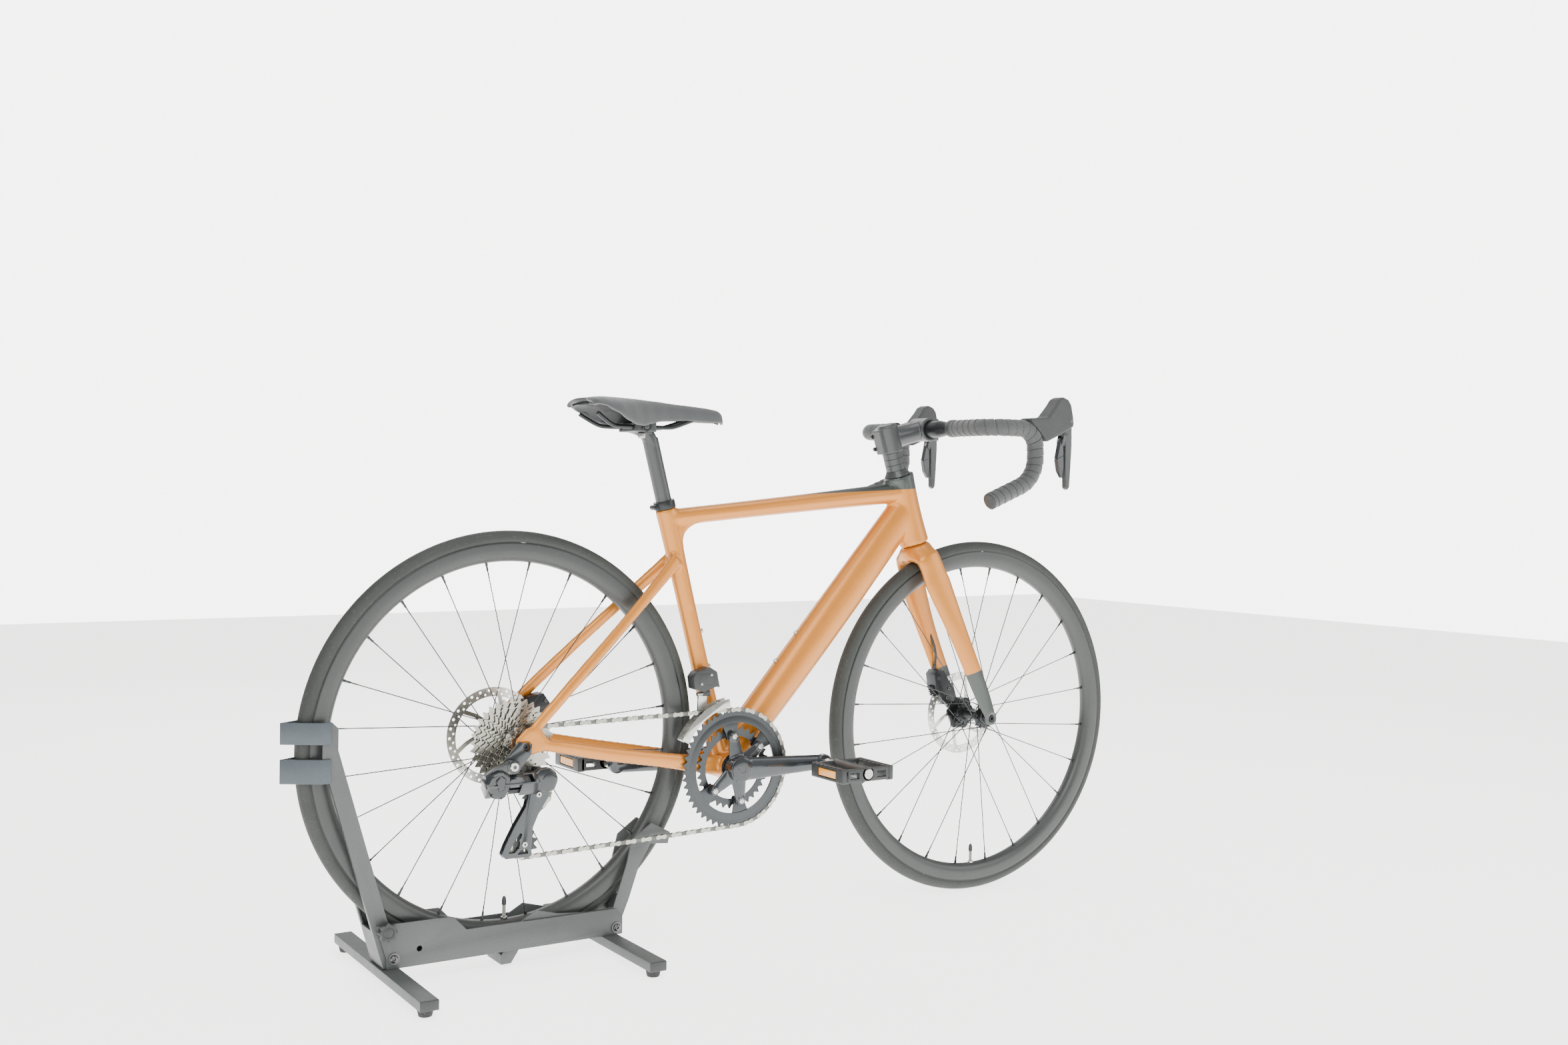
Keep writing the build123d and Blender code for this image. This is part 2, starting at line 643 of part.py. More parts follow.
runs = []
for i, wheel in enumerate(chain_wheels):
    after = chain_wheels[(i + 1) % 4]
    before = chain_wheels[i - 1]
    arrive, leave = tangent_points(before, wheel)[1], tangent_points(wheel, after)[0]
    (x, z), r, y = wheel
    start = atan2(arrive[1] - z, arrive[0] - x)
    stop = atan2(leave[1] - z, leave[0] - x)
    swept = (start - stop) % (2 * pi) if r > 0 else (stop - start) % (2 * pi)
    runs.append(("arc", swept * abs(r), wheel, start))
    landing = tangent_points(wheel, after)[1]
    reach = hypot(landing[0] - leave[0], landing[1] - leave[1])
    runs.append(("line", reach, at(leave, y), at(landing, after[2])))
chain_length = sum(run[1] for run in runs)
link_count = 2 * round(chain_length / chain_pitch / 2)


def on_chain(distance):
    # Place and heading at this distance round the loop.
    for kind, length, first, second in runs:
        if distance > length:
            distance -= length
            continue
        if kind == "line":
            share = distance / length
            spot = Vector(first) + (Vector(second) - Vector(first)) * share
            return spot, (Vector(second) - Vector(first)).normalized()
        (x, z), r, y = first
        turn = second - distance / r
        way = 1 if r > 0 else -1
        spot = Vector(x + abs(r) * cos(turn), y, z + abs(r) * sin(turn))
        return spot, Vector(sin(turn) * way, 0, -cos(turn) * way)


link_planes = []
for i in range(link_count):
    spot, heading = on_chain((i + 0.5) * chain_length / link_count)
    link_planes.append(Plane(origin=spot, x_dir=heading, z_dir=Vector(0, 1, 0) - heading * heading.Y))
with BuildPart() as chain:
    with Locations(*[Location(p) for i, p in enumerate(link_planes) if i % 2]):
        Box(chain_pitch - 0.7, 2 * chain_half, chain_width)
    with Locations(*[Location(p) for i, p in enumerate(link_planes) if i % 2 == 0]):
        Box(chain_pitch - 0.7, 2 * chain_half - 0.6, chain_width - 1.8)
chain.part.label = "chain"
export_step(chain.part, "parts/chain.step")

with BuildPart() as chainrings:
    disc((bb_x, bb_z), root_radius(ring_teeth[0]), ring_y + 1.2, ring_y - 1.2, hole=64)
    disc((bb_x, bb_z), root_radius(ring_teeth[1]), ring_y + 8.2, ring_y + 6.2, hole=50)
    for turn in (38, 98, 218, 278):
        spot = (bb_x + 57 * cos(radians(turn)), bb_z + 57 * sin(radians(turn)))
        disc(spot, 6.5, ring_y + 6.2, ring_y - 1.2)
    # Four tabs tie the outer ring's inner edge to the bosses.
    for turn in (38, 98, 218, 278):
        tip = (bb_x + 68 * cos(radians(turn)), ring_y, bb_z + 68 * sin(radians(turn)))
        root = (bb_x + 55 * cos(radians(turn)), ring_y, bb_z + 55 * sin(radians(turn)))
        limb((root, between(root, tip), 14, 2.4), (tip, between(root, tip), 22, 2.4))
chainrings.part.label = "chainrings"
export_step(chainrings.part, "parts/chainrings.step")

crank_end_x = bb_x + crank_length
pedal_x = (crank_end_x, bb_x - crank_length)
crank_outer_y = abs(crank_inner_y) + crank_thickness
with BuildPart() as right_crank:
    mid_y = crank_inner_y - crank_thickness / 2
    limb(
        ((bb_x - 4, mid_y, bb_z), (1, 0, 0), 42, crank_thickness),
        ((bb_x + 60, mid_y - 1, bb_z), (1, 0, 0), 36, crank_thickness),
        ((crank_end_x, mid_y - 4, bb_z), (1, 0, 0), 26, crank_thickness),
    )
    disc((crank_end_x, bb_z), 14, crank_inner_y - 5, crank_inner_y - crank_thickness - 4)
    disc((bb_x, bb_z), 22, shell_half * -1 - 3.6, crank_inner_y - crank_thickness + 1)
    for turn in (38, 98, 218, 278):
        root = (bb_x + 12 * cos(radians(turn)), crank_inner_y + 2, bb_z + 12 * sin(radians(turn)))
        tip = (bb_x + 62 * cos(radians(turn)), crank_inner_y + 4.6, bb_z + 62 * sin(radians(turn)))
        limb((root, between(root, tip), 32, 9), (tip, between(root, tip), 17, 8))
        boss = (tip[0] - 5 * cos(radians(turn)), tip[2] - 5 * sin(radians(turn)))
        disc(boss, 8, ring_y - 1.5, crank_inner_y - 0.5)
    bar((bb_x, -shell_half - 5, bb_z), (bb_x, shell_half + 9, bb_z), spindle_radius)
right_crank.part.label = "right_crank"
export_step(right_crank.part, "parts/right_crank.step")

with BuildPart() as left_crank:
    mid_y = -crank_inner_y + crank_thickness / 2
    limb(
        ((bb_x + 4, mid_y, bb_z), (-1, 0, 0), 40, crank_thickness),
        ((bb_x - 60, mid_y + 1, bb_z), (-1, 0, 0), 34, crank_thickness),
        ((bb_x - crank_length, mid_y + 4, bb_z), (-1, 0, 0), 26, crank_thickness),
    )
    disc((bb_x - crank_length, bb_z), 14, -crank_inner_y + crank_thickness + 4, -crank_inner_y + 5)
    disc((bb_x, bb_z), 21, -crank_inner_y + crank_thickness - 1, shell_half + 9.3)
left_crank.part.label = "left_crank"
export_step(left_crank.part, "parts/left_crank.step")

# Pedals: a platform round a sleeve, open at both sides of it, with end plates.
for hand, name, px in ((-1, "right", pedal_x[0]), (1, "left", pedal_x[1])):
    inner_y = hand * (crank_outer_y + 4.2)
    near = hand * 110.0
    far = near + hand * pedal_width
    with BuildPart() as pedal:
        for reach in (-1, 1):
            with Locations((px + reach * pedal_length / 2 * 0.86, (near + far) / 2, bb_z - 2)):
                Box(13, pedal_width, 26)
        for end_y in (near + hand * 4, far - hand * 4):
            with Locations((px, end_y, bb_z - 2)):
                Box(pedal_length * 0.84, 8, 24)
        disc((px, bb_z), 13, max(near, far), min(near, far))
        disc((px, bb_z), axle_radius + running_fit, 230 * hand, 0, mode=Mode.SUBTRACT)
    pedal.part.label = f"{name}_pedal"
    export_step(pedal.part, f"parts/{name}_pedal.step")
    with BuildPart() as pedal_axle:
        disc((px, bb_z), axle_radius, inner_y - hand * 0.1, far + hand * 2)
        disc((px, bb_z), 8.5, inner_y - hand * 0.1, near - hand * 8)
        disc((px, bb_z), 9, far + hand * 0.4, far + hand * 3)
    pedal_axle.part.label = f"{name}_pedal_axle"
    export_step(pedal_axle.part, f"parts/{name}_pedal_axle.step")

# Rear mech. Its links swing about slanted pins, so that the cage moves in and down together.
pin_slant = radians(52)
pin_way = Vector(0, sin(pin_slant), cos(pin_slant))
row_way = Vector(0, cos(pin_slant), -sin(pin_slant))
link_length = 52.0
link_row = 14.0
mech_root = Vector(rear_x - 58, -91.7, rear_z - 55.5)
mech_far = mech_root + Vector(link_length, 0, 0)
pin_radius = 2.0


def mech_block(centre, size_x, size_row, size_pin, along_pin=0.0, mode=Mode.ADD):
    where = Plane(origin=centre + pin_way * along_pin, x_dir=(1, 0, 0), z_dir=pin_way)
    with Locations(Location(where)):
        Box(size_x, size_row, size_pin, mode=mode)


def mech_pins(centre, radius, mode=Mode.ADD):
    for row in (-0.5, 0.5):
        spot = centre + row_way * (row * link_row)
        bar(tuple(spot - pin_way * 11), tuple(spot + pin_way * 11), radius, mode=mode)


with BuildPart() as mech_mount:
    hanger = [rear(-13, 9), rear(9, 5), rear(8, -12), rear(-14, -37), rear(-34, -38), rear(-38, -20)]
    plate(hanger, -rear_dropout - dropout_thickness - 0.2, -rear_dropout - dropout_thickness - 5)
    disc((rear_x, rear_z), axle_radius + 0.4, -60, -100, mode=Mode.SUBTRACT)
    boss_y = -rear_dropout - dropout_thickness - 5
    disc(rear(-26.5, -27), 11, boss_y, boss_y - 14)
    disc(rear(-26.5, -27), 6, boss_y - 14, boss_y - 16)
    shoulder = [
        rear(-27, -16), rear(-60, -27), rear(-73, -38), rear(-73, -52), rear(-66.5, -52),
        rear(-66, -40), rear(-58, -38.5), rear(-36, -35),
    ]
    plate(shoulder, boss_y - 1, boss_y - 13)
    for along_pin in (-9.8, 9.8):
        mech_block(mech_root, 22, 26, 3, along_pin)
    mech_block(mech_root + Vector(-13, 0, 0), 4, 26, 22.6)
    mech_pins(mech_root, pin_radius)
mech_mount.part.label = "mech_mount"
export_step(mech_mount.part, "parts/mech_mount.step")

for name, row in (("mech_outer_link", -0.5), ("mech_inner_link", 0.5)):
    with BuildPart() as link:
        middle = mech_root + Vector(link_length / 2, 0, 0) + row_way * (row * link_row)
        mech_block(middle, link_length + 10, 9, 16)
        mech_pins(mech_root, pin_radius + running_fit, mode=Mode.SUBTRACT)
        mech_pins(mech_far, pin_radius + running_fit, mode=Mode.SUBTRACT)
    link.part.label = name
    export_step(link.part, f"parts/{name}.step")

knuckle_out = -92.0
knuckle_in = -72.0
with BuildPart() as mech_knuckle:
    for along_pin in (-9.8, 9.8):
        mech_block(mech_far, 22, 26, 3, along_pin)
    mech_block(mech_far + Vector(15, 0, 0), 8, 26, 22.6)
    disc(cage_pivot, 15, knuckle_out, knuckle_in)
    plate([rear(10, -66), rear(34, -68), rear(34, -38), rear(10, -42)], knuckle_out + 1, knuckle_in - 2)
    mech_pins(mech_far, pin_radius)
    disc(cage_pivot, 4 + running_fit, 0, -120, mode=Mode.SUBTRACT)
mech_knuckle.part.label = "mech_knuckle"
export_step(mech_knuckle.part, "parts/mech_knuckle.step")

with BuildPart() as mech_cage:
    cage_outline = [
        rear(24, -36), rear(38, -38), rear(48, -54), rear(47, -86), rear(31, -110), rear(21, -132),
        rear(18, -178), rear(-25, -178), rear(-31, -171), rear(-25, -156), rear(-10, -128),
        rear(9, -98), rear(15, -72), rear(18, -48),
    ]
    for y in (chain_y - 4.8, chain_y + 6.6):
        plate(cage_outline, y, y - 1.8)
    for spot in (guide_at, tension_at):
        disc(spot, 2.5, chain_y - 6, chain_y + 6)
        disc(spot, 4.5, chain_y - 6.6, chain_y - 8)
    disc(cage_pivot, 12, chain_y - 6.5, knuckle_in + 0.2)
    disc(cage_pivot, 4, chain_y - 6.5, knuckle_out - 2)
mech_cage.part.label = "mech_cage"
export_step(mech_cage.part, "parts/mech_cage.step")

for name, spot in (("guide_pulley", guide_at), ("tension_pulley", tension_at)):
    with BuildPart() as pulley:
        disc(spot, root_radius(pulley_teeth), chain_y - 1.4, chain_y + 1.4)
        disc(spot, 6, chain_y - 4.4, chain_y + 4.4)
        disc(spot, 2.5 + running_fit, chain_y - 9, chain_y + 9, mode=Mode.SUBTRACT)
    pulley.part.label = name
    export_step(pulley.part, f"parts/{name}.step")

# Front mech: a faceted motor body beside the seat tube and a cage round the top of the chain.
with BuildPart() as front_mech_body:
    body = [
        seat(175.6, -38.4), seat(155.5, -40.6), seat(145.2, -25.4), seat(146.7, 0.5),
        seat(143.7, 6.9), seat(171.4, 8.1), seat(182.3, -2.5), seat(182.4, -29.4),
    ]
    plate(body, -19.5, -43)
    mount = [seat(150, -6), seat(150, 6), seat(172, 6), seat(172, -6)]
    plate(mount, -14, -20)
    add(frame.part, mode=Mode.SUBTRACT)
front_mech_body.part.label = "front_mech_body"
export_step(front_mech_body.part, "parts/front_mech_body.step")

cage_low = pitch_radius(ring_teeth[0]) + 7.5
with BuildPart() as front_mech_cage:
    for y_from, thickness in ((ring_y - 6.5, 1.4), (ring_y + 10.5, 1.4)):
        with BuildSketch(side(y_from)) as band:
            with BuildLine():
                turns = [radians(t) for t in (98, 112, 126, 140, 153)]
                outer_arc = [(bb_x + (cage_low + 14) * cos(t), bb_z + (cage_low + 14) * sin(t))
                             for t in turns]
                inner_arc = [(bb_x + cage_low * cos(t), bb_z + cage_low * sin(t)) for t in turns]
                Spline(*outer_arc)
                Spline(*inner_arc)
                Line(outer_arc[0], inner_arc[0])
                Line(outer_arc[-1], inner_arc[-1])
            make_face()
        extrude(band.sketch, amount=thickness)
    for turn in (radians(151), radians(104)):
        reach = cage_low + (4 if turn > 2 else 11.5)
        spot = (bb_x + reach * cos(turn), bb_z + reach * sin(turn))
        disc(spot, 2.4, ring_y + 9.5, ring_y - 7)
    lug = (bb_x + (cage_low + 12) * cos(radians(120)), bb_z + (cage_low + 12) * sin(radians(120)))
    swing_at = (seat(145.2, -25.4)[0], seat(145.2, -25.4)[1] - 3.7)
    web_y = ring_y + 14
    plate(
        [(lug[0] - 9, lug[1] - 2), (lug[0] + 9, lug[1]), (lug[0] + 8, swing_at[1] + 1),
         (lug[0] - 8, swing_at[1] + 1)],
        web_y, web_y - 3.5,
    )
    plate(
        [(lug[0] - 9, lug[1] - 2), (lug[0] + 9, lug[1]), (lug[0] + 9, lug[1] - 6), (lug[0] - 9, lug[1] - 6)],
        web_y, ring_y + 9.1,
    )
    bar((swing_at[0] - 9, web_y - 1.7, swing_at[1]), (swing_at[0] + 9, web_y - 1.7, swing_at[1]), 3.2)
front_mech_cage.part.label = "front_mech_cage"
export_step(front_mech_cage.part, "parts/front_mech_cage.step")

# Rear caliper stands on the left chain stay, astride the disc.
with BuildPart() as rear_caliper:
    ry = rotor_y["rear"]
    plate(
        [rear(50, 40), rear(58, 62), rear(84, 66), rear(98, 46), rear(96, 36), rear(62, 28)],
        ry + 14, ry - 12,
    )
    for ahead in (66, 88):
        bar((rear_x + ahead, ry + 9, rear_z - 14), (rear_x + ahead, ry + 9, rear_z + 38), 5.5)
    disc((rear_x, rear_z), rotor_radius + 1.5, ry + 1.9, ry - 1.9, mode=Mode.SUBTRACT)
    add(frame.part, mode=Mode.SUBTRACT)
rear_caliper.part.label = "rear_caliper"
export_step(rear_caliper.part, "parts/rear_caliper.step")

# Steering

stem_top = head_high + 96
stem_low = head_high + 46
bar_at = steer(head_high + 66, stem_length - 1)
# Each place on a blade: up the steering axis, ahead of it, sideways, and its depth and width.
blade_path = ((tyre_radius + 8, 1, 33, 56, 24), (tyre_radius - 19, 3, 36, 59, 20),
              (tyre_radius - 104, 12, 45, 50, 17), (103, 30.5, 52, 39, 13), (6, 44, 55.5, 25, 9))

with BuildPart() as fork:
    for hand in (-1, 1):
        stations = []
        spots = [at(steer(up, ahead), hand * y) for up, ahead, y, _, _ in blade_path]
        for i, (_, _, _, depth, width) in enumerate(blade_path):
            way = between(spots[min(i + 1, 4)], spots[max(i - 1, 0)])
            stations.append((spots[i], way, depth, width))
        limb(*stations)
        disc((front_x, front_z), 14, hand * (front_dropout + dropout_thickness), hand * front_dropout)
    limb(
        (at(steer(tyre_radius - 6, 2), 0), up_steer, 60, 93),
        (at(steer(tyre_radius + 11, 2), 0), up_steer, 63, 78),
        (at(steer(head_low - 0.6, 2), 0), up_steer, 60, 50),
    )
    bar(at(steer(head_low - 4, 0), 0), at(steer(stem_top - 4, 0), 0), steerer_radius)
    # Room for the hub and the tyre.
    bar((front_x, -front_dropout, front_z), (front_x, front_dropout, front_z), 26, mode=Mode.SUBTRACT)
    disc((front_x, front_z), tyre_radius + 3.5, 17.5, -17.5, mode=Mode.SUBTRACT)
    bar((front_x, -90, front_z), (front_x, 90, front_z), axle_radius + running_fit, mode=Mode.SUBTRACT)
    for hand in (-1, 1):
        disc((front_x, front_z), 10, hand * 70, hand * (front_dropout + dropout_thickness + 0.05),
             mode=Mode.SUBTRACT)
fork.part.label = "fork"
export_step(fork.part, "parts/fork.step")

with BuildPart() as front_axle:
    outer = front_dropout + dropout_thickness
    bar((front_x, -outer - 0.5, front_z), (front_x, outer, front_z), axle_radius)
    disc((front_x, front_z), 8.5, outer + 3.5, outer + 0.1)
front_axle.part.label = "front_axle"
export_step(front_axle.part, "parts/front_axle.step")

with BuildPart() as headset_cover:
    with BuildSketch(Plane(at(steer(head_high + 0.4, 0), 0), z_dir=up_steer)) as cover_foot:
        Circle(24.5)
    with BuildSketch(Plane(at(steer(head_high + 11, 0), 0), z_dir=up_steer)) as cover_top:
        Circle(19)
    loft([cover_foot.sketch.face(), cover_top.sketch.face()])
    for i in range(3):
        low = head_high + 11.2 + i * 11.6
        bar(at(steer(low, 0), 0), at(steer(low + 11.4, 0), 0), 18.5)
    bar(at(steer(head_high - 2, 0), 0), at(steer(stem_low + 2, 0), 0), steerer_radius + running_fit,
        mode=Mode.SUBTRACT)
headset_cover.part.label = "headset_cover"
export_step(headset_cover.part, "parts/headset_cover.step")

stem_way = between(at(steer(head_high + 71, 4), 0), at(bar_at, 0))
with BuildPart() as stem:
    bar(at(steer(stem_low, 0), 0), at(steer(stem_top, 0), 0), 21)
    limb(
        (at(steer(head_high + 71, 6), 0), stem_way, 44, 38),
        (at(steer(head_high + 68, 42), 0), stem_way, 37, 34),
        (at(bar_at, 0), stem_way, 40, 44),
    )
    disc(bar_at, bar_radius + 6.5, 23, -23)
    bar(at(steer(stem_top - 1, 0), 0), at(steer(stem_top + 3, 0), 0), 17)
    rear_lug = at(steer(head_high + 71, -20), 0)
    with Locations(Location(Plane(origin=rear_lug, x_dir=(cos(tilt), 0, sin(tilt)), z_dir=up_steer))):
        Box(13, 24, 46)
    bar(at(steer(stem_low - 2, 0), 0), at(steer(stem_top - 3.9, 0), 0), steerer_radius + running_fit,
        mode=Mode.SUBTRACT)
    disc(bar_at, bar_radius + running_fit, 60, -60, mode=Mode.SUBTRACT)
stem.part.label = "stem"
export_step(stem.part, "parts/stem.step")

with BuildPart() as stem_bolts:
    face_x = (bar_at[0] + bar_radius + 6.5 + 0.2, bar_at[1])
    for y in (-15, 15):
        for dz in (-17, 17):
            head = (face_x[0] - 6.2, y, bar_at[1] + dz)
            bar(head, (head[0] + 6, y, head[2]), 3.8)
    for up in (head_high + 59, head_high + 83):
        spot = at(steer(up, -26.7), 12.1)
        bar(spot, (spot[0], 15.5, spot[2]), 4)
    add(stem.part, mode=Mode.SUBTRACT)
stem_bolts.part.label = "stem_bolts"
export_step(stem_bolts.part, "parts/stem_bolts.step")

# Handlebar: thick at the stem, thinner along the tops and round the drops.
ramp_x, drop_x, tip_x = bar_at[0] + 102, bar_at[0] + 104, bar_at[0] - 6
top_z, drop_z, tip_z = bar_at[1], bar_at[1] - 91, bar_at[1] - 134
tape_start = 85.0


def bar_route(hand, start):
    return (
        (bar_at[0], hand * start, bar_at[1]),
        (bar_at[0], hand * (bar_half - 1), top_z),
        (ramp_x, hand * bar_half, top_z),
        (drop_x, hand * (bar_half + 1), drop_z),
        (tip_x, hand * (bar_half + 3), tip_z),
    )


bend_radii = [40, 36, 58]
with BuildPart() as handlebar:
    disc(bar_at, bar_radius, 50, -50)
    for hand in (-1, 1):
        with BuildSketch(side(hand * 50)) as thick:
            with Locations(bar_at):
                Circle(bar_radius)
        with BuildSketch(side(hand * 75)) as thin:
            with Locations(bar_at):
                Circle(bar_tip_radius)
        loft([thick.sketch.face(), thin.sketch.face()])
        hose(bar_route(hand, 74.5), bend_radii, bar_tip_radius)
handlebar.part.label = "handlebar"
export_step(handlebar.part, "parts/handlebar.step")

with BuildPart() as bar_tape:
    for hand in (-1, 1):
        hose(bar_route(hand, tape_start), bend_radii, grip_radius + 0.6, hole=bar_tip_radius + 0.05)
bar_tape.part.label = "bar_tape"
export_step(bar_tape.part, "parts/bar_tape.step")


def hood(ahead, up):
    # Point (x, z) from the middle of the handlebar.
    return (bar_at[0] + ahead, bar_at[1] + up)


lever_pivot = hood(176, 16)
with BuildPart() as lever_hoods:
    hood_outline = [
        hood(74, 18.6), hood(100, 19.5), hood(120, 22), hood(136, 40), hood(150, 56), hood(163, 60.5),
        hood(178, 56), hood(184, 47), hood(185, 30), hood(183, 6), hood(170, 0), hood(156, -8),
        hood(144, -13), hood(118, -24), hood(106, -10),
    ]
    for hand in (-1, 1):
        with BuildSketch(side(hand * bar_half - 17)) as hood_side:
            with BuildLine():
                Polyline(*hood_outline, close=True)
            make_face()
            fillet(hood_side.vertices(), 3)
        extrude(hood_side.sketch, amount=-34)
        # The lever and its paddle work in a pocket at the front.
        with BuildSketch(side(hand * bar_half - 8.5)) as pocket:
            with BuildLine():
                Polyline(
                    hood(190, 36), hood(168, 36), hood(160, 24), hood(152, 6), hood(145, -20),
                    hood(190, -20), close=True,
                )
            make_face()
        extrude(pocket.sketch, amount=-17, mode=Mode.SUBTRACT)
        bar(at(lever_pivot, hand * bar_half - 15), at(lever_pivot, hand * bar_half + 15), lever_swing_pin)
    add(bar_tape.part, mode=Mode.SUBTRACT)
    add(handlebar.part, mode=Mode.SUBTRACT)
lever_hoods.part.label = "lever_hoods"
export_step(lever_hoods.part, "parts/lever_hoods.step")

for hand, name in ((-1, "right"), (1, "left")):
    with BuildPart() as lever:
        blade = [
            hood(168, 22), hood(180, 24), hood(187, 12), hood(188.5, -30), hood(186.5, -80),
            hood(185, -106), hood(180, -111), hood(175, -107), hood(173, -70), hood(172, -30),
            hood(168, 0),
        ]
        plate(blade, hand * bar_half + 6.5, hand * bar_half - 6.5)
        bar(at(lever_pivot, hand * bar_half - 9), at(lever_pivot, hand * bar_half + 9),
            lever_swing_pin + running_fit, mode=Mode.SUBTRACT)
        paddle_pin = hood(171, -8)
        disc(paddle_pin, 2.2, hand * bar_half + 8.3, hand * bar_half - 8.3)
    lever.part.label = f"{name}_brake_lever"
    export_step(lever.part, f"parts/{name}_brake_lever.step")
    with BuildPart() as paddle:
        blade = [
            hood(166.5, -13), hood(158, -22), hood(148, -54), hood(154, -76), hood(167, -89), hood(170.5, -70),
            hood(168.7, -30), hood(166.5, -13),
        ]
        plate(blade[:-1], hand * bar_half + 5, hand * bar_half - 5)
        for ear in (-8.2, 6.7):
            plate(
                [hood(167, -4), hood(175, -4), hood(175, -12), hood(168, -30), hood(160, -24)],
                hand * bar_half + ear + 1.5, hand * bar_half + ear,
            )
        for ear in (-7.5, 7.5):
            y_from, y_to = hand * bar_half + ear, hand * bar_half + ear * 0.6
            plate([hood(165, -18), hood(167.5, -30), hood(160, -26)], max(y_from, y_to), min(y_from, y_to))
        disc(paddle_pin, 2.2 + running_fit, hand * bar_half + 9, hand * bar_half - 9, mode=Mode.SUBTRACT)
    paddle.part.label = f"{name}_shift_paddle"
    export_step(paddle.part, f"parts/{name}_shift_paddle.step")

with BuildPart() as front_caliper:
    ry = rotor_y["front"]
    plate(
        [
            steer(98, -2), steer(104, 8), steer(98, 22), steer(48, 36), steer(32, 30), steer(30, 12),
            steer(44, 2), steer(70, -6),
        ],
        ry + 16, ry - 12,
    )
    disc((front_x, front_z), rotor_radius + 1.5, ry + 1.9, ry - 1.9, mode=Mode.SUBTRACT)
    add(fork.part, mode=Mode.SUBTRACT)
front_caliper.part.label = "front_caliper"
export_step(front_caliper.part, "parts/front_caliper.step")

# Brake hose: down the back of the left fork blade to the caliper.
hose_radius = 2.4
hose_points = (
    at(steer(250, -30.2), 45), at(steer(200, -24), 49), at(steer(150, -14.5), 52.5),
    at(steer(112, -9.5), 53.5), at(steer(88, -14), 52), at(steer(74, -7), 49),
)
hose_radii = []
for i in range(1, len(hose_points) - 1):
    arrive = Vector(hose_points[i]) - Vector(hose_points[i - 1])
    depart = Vector(hose_points[i + 1]) - Vector(hose_points[i])
    turn = radians(arrive.get_angle(depart))
    hose_radii.append(0.45 * min(arrive.length, depart.length) / tan(turn / 2))
with BuildPart() as front_brake_hose:
    hose(hose_points, hose_radii, hose_radius)
    add(fork.part, mode=Mode.SUBTRACT)
    add(front_caliper.part, mode=Mode.SUBTRACT)
front_brake_hose.part.label = "front_brake_hose"
export_step(front_brake_hose.part, "parts/front_brake_hose.step")

# Saddle

post_insert = seat_tube_length - 165
clamp_at = seat(611, -18)
clamp_low = clamp_at[1] - 11
clamp_high = clamp_at[1] + 8
rail_z = clamp_at[1] - 2
with BuildPart() as seatpost:
    bar(at(seat(post_insert, 0), 0), at(seat(585, 0), 0), post_radius)
    head_way = between(at(seat(585, 0), 0), (clamp_at[0], 0, clamp_low + 4))
    limb(
        (at(seat(570, 0), 0), up_seat, 2 * post_radius - 0.2, 2 * post_radius - 0.2),
        (at(seat(592, -4), 0), head_way, 27, 27),
        ((clamp_at[0], 0, clamp_low + 3), (-0.2, 0, 1), 34, 28),
    )
    with Locations((clamp_at[0], 0, (clamp_low + clamp_high) / 2)):
        Box(40, 2 * rail_spacing + 18, clamp_high - clamp_low - 2)
    with Locations((clamp_at[0], 0, clamp_at[1] + 12)):
        Box(60, 2 * rail_spacing - 12, 15, mode=Mode.SUBTRACT)
    bar((clamp_at[0], -rail_spacing - 13, clamp_at[1] - 1), (clamp_at[0], rail_spacing + 13, clamp_at[1] - 1), 5)
    for hand in (-1, 1):
        bar((clamp_at[0] - 60, hand * rail_spacing, rail_z), (clamp_at[0] + 60, hand * rail_spacing, rail_z),
            rail_radius + running_fit, mode=Mode.SUBTRACT)
seatpost.part.label = "seatpost"
export_step(seatpost.part, "parts/seatpost.step")

saddle_back = clamp_at[0] - 125
saddle_front = saddle_back + saddle_length
saddle_top = clamp_at[1] + 47
tunnel_z = saddle_top - 29
with BuildPart() as saddle:
    with BuildSketch(Plane.XY.offset(saddle_top - 60)) as plan:
        with BuildLine():
            right_edge = [
                (saddle_back + 8, -30), (saddle_back + 2, -58), (saddle_back + 24, -saddle_half),
                (saddle_back + 78, -62), (saddle_back + 135, -36), (saddle_back + 200, -22),
                (saddle_front - 14, -17), (saddle_front, -6),
            ]
            left_edge = [(x, -y) for x, y in reversed(right_edge)]
            Spline(*right_edge)
            Spline(*left_edge)
            Line(right_edge[-1], left_edge[0])
            Polyline(left_edge[-1], (saddle_back + 26, 9), (saddle_back + 26, -9), right_edge[0])
        make_face()
    extrude(amount=70)
    with BuildSketch(side(90)) as profile:
        with BuildLine():
            upper = Spline(
                (saddle_back, saddle_top - 3), (saddle_back + 60, saddle_top), (saddle_back + 140, saddle_top - 3),
                (saddle_front - 40, saddle_top - 12), (saddle_front, saddle_top - 26),
            )
            Polyline(
                (saddle_front, saddle_top - 26), (saddle_front - 4, saddle_top - 36),
                (saddle_back + 150, saddle_top - 40), (saddle_back + 104, saddle_top - 49),
                (saddle_back + 84, saddle_top - 47), (saddle_back + 40, saddle_top - 28),
                (saddle_back + 4, saddle_top - 15), (saddle_back, saddle_top - 3),
            )
        make_face()
    extrude(profile.sketch, amount=180, mode=Mode.INTERSECT)
    with Locations((saddle_back + 148, 0, tunnel_z - 30)):
        Box(250, 62, 60, mode=Mode.SUBTRACT)
    with Locations((saddle_back + 75, 0, tunnel_z - 30)):
        Box(150, 100, 60, mode=Mode.SUBTRACT)
saddle.part.label = "saddle"
export_step(saddle.part, "parts/saddle.step")

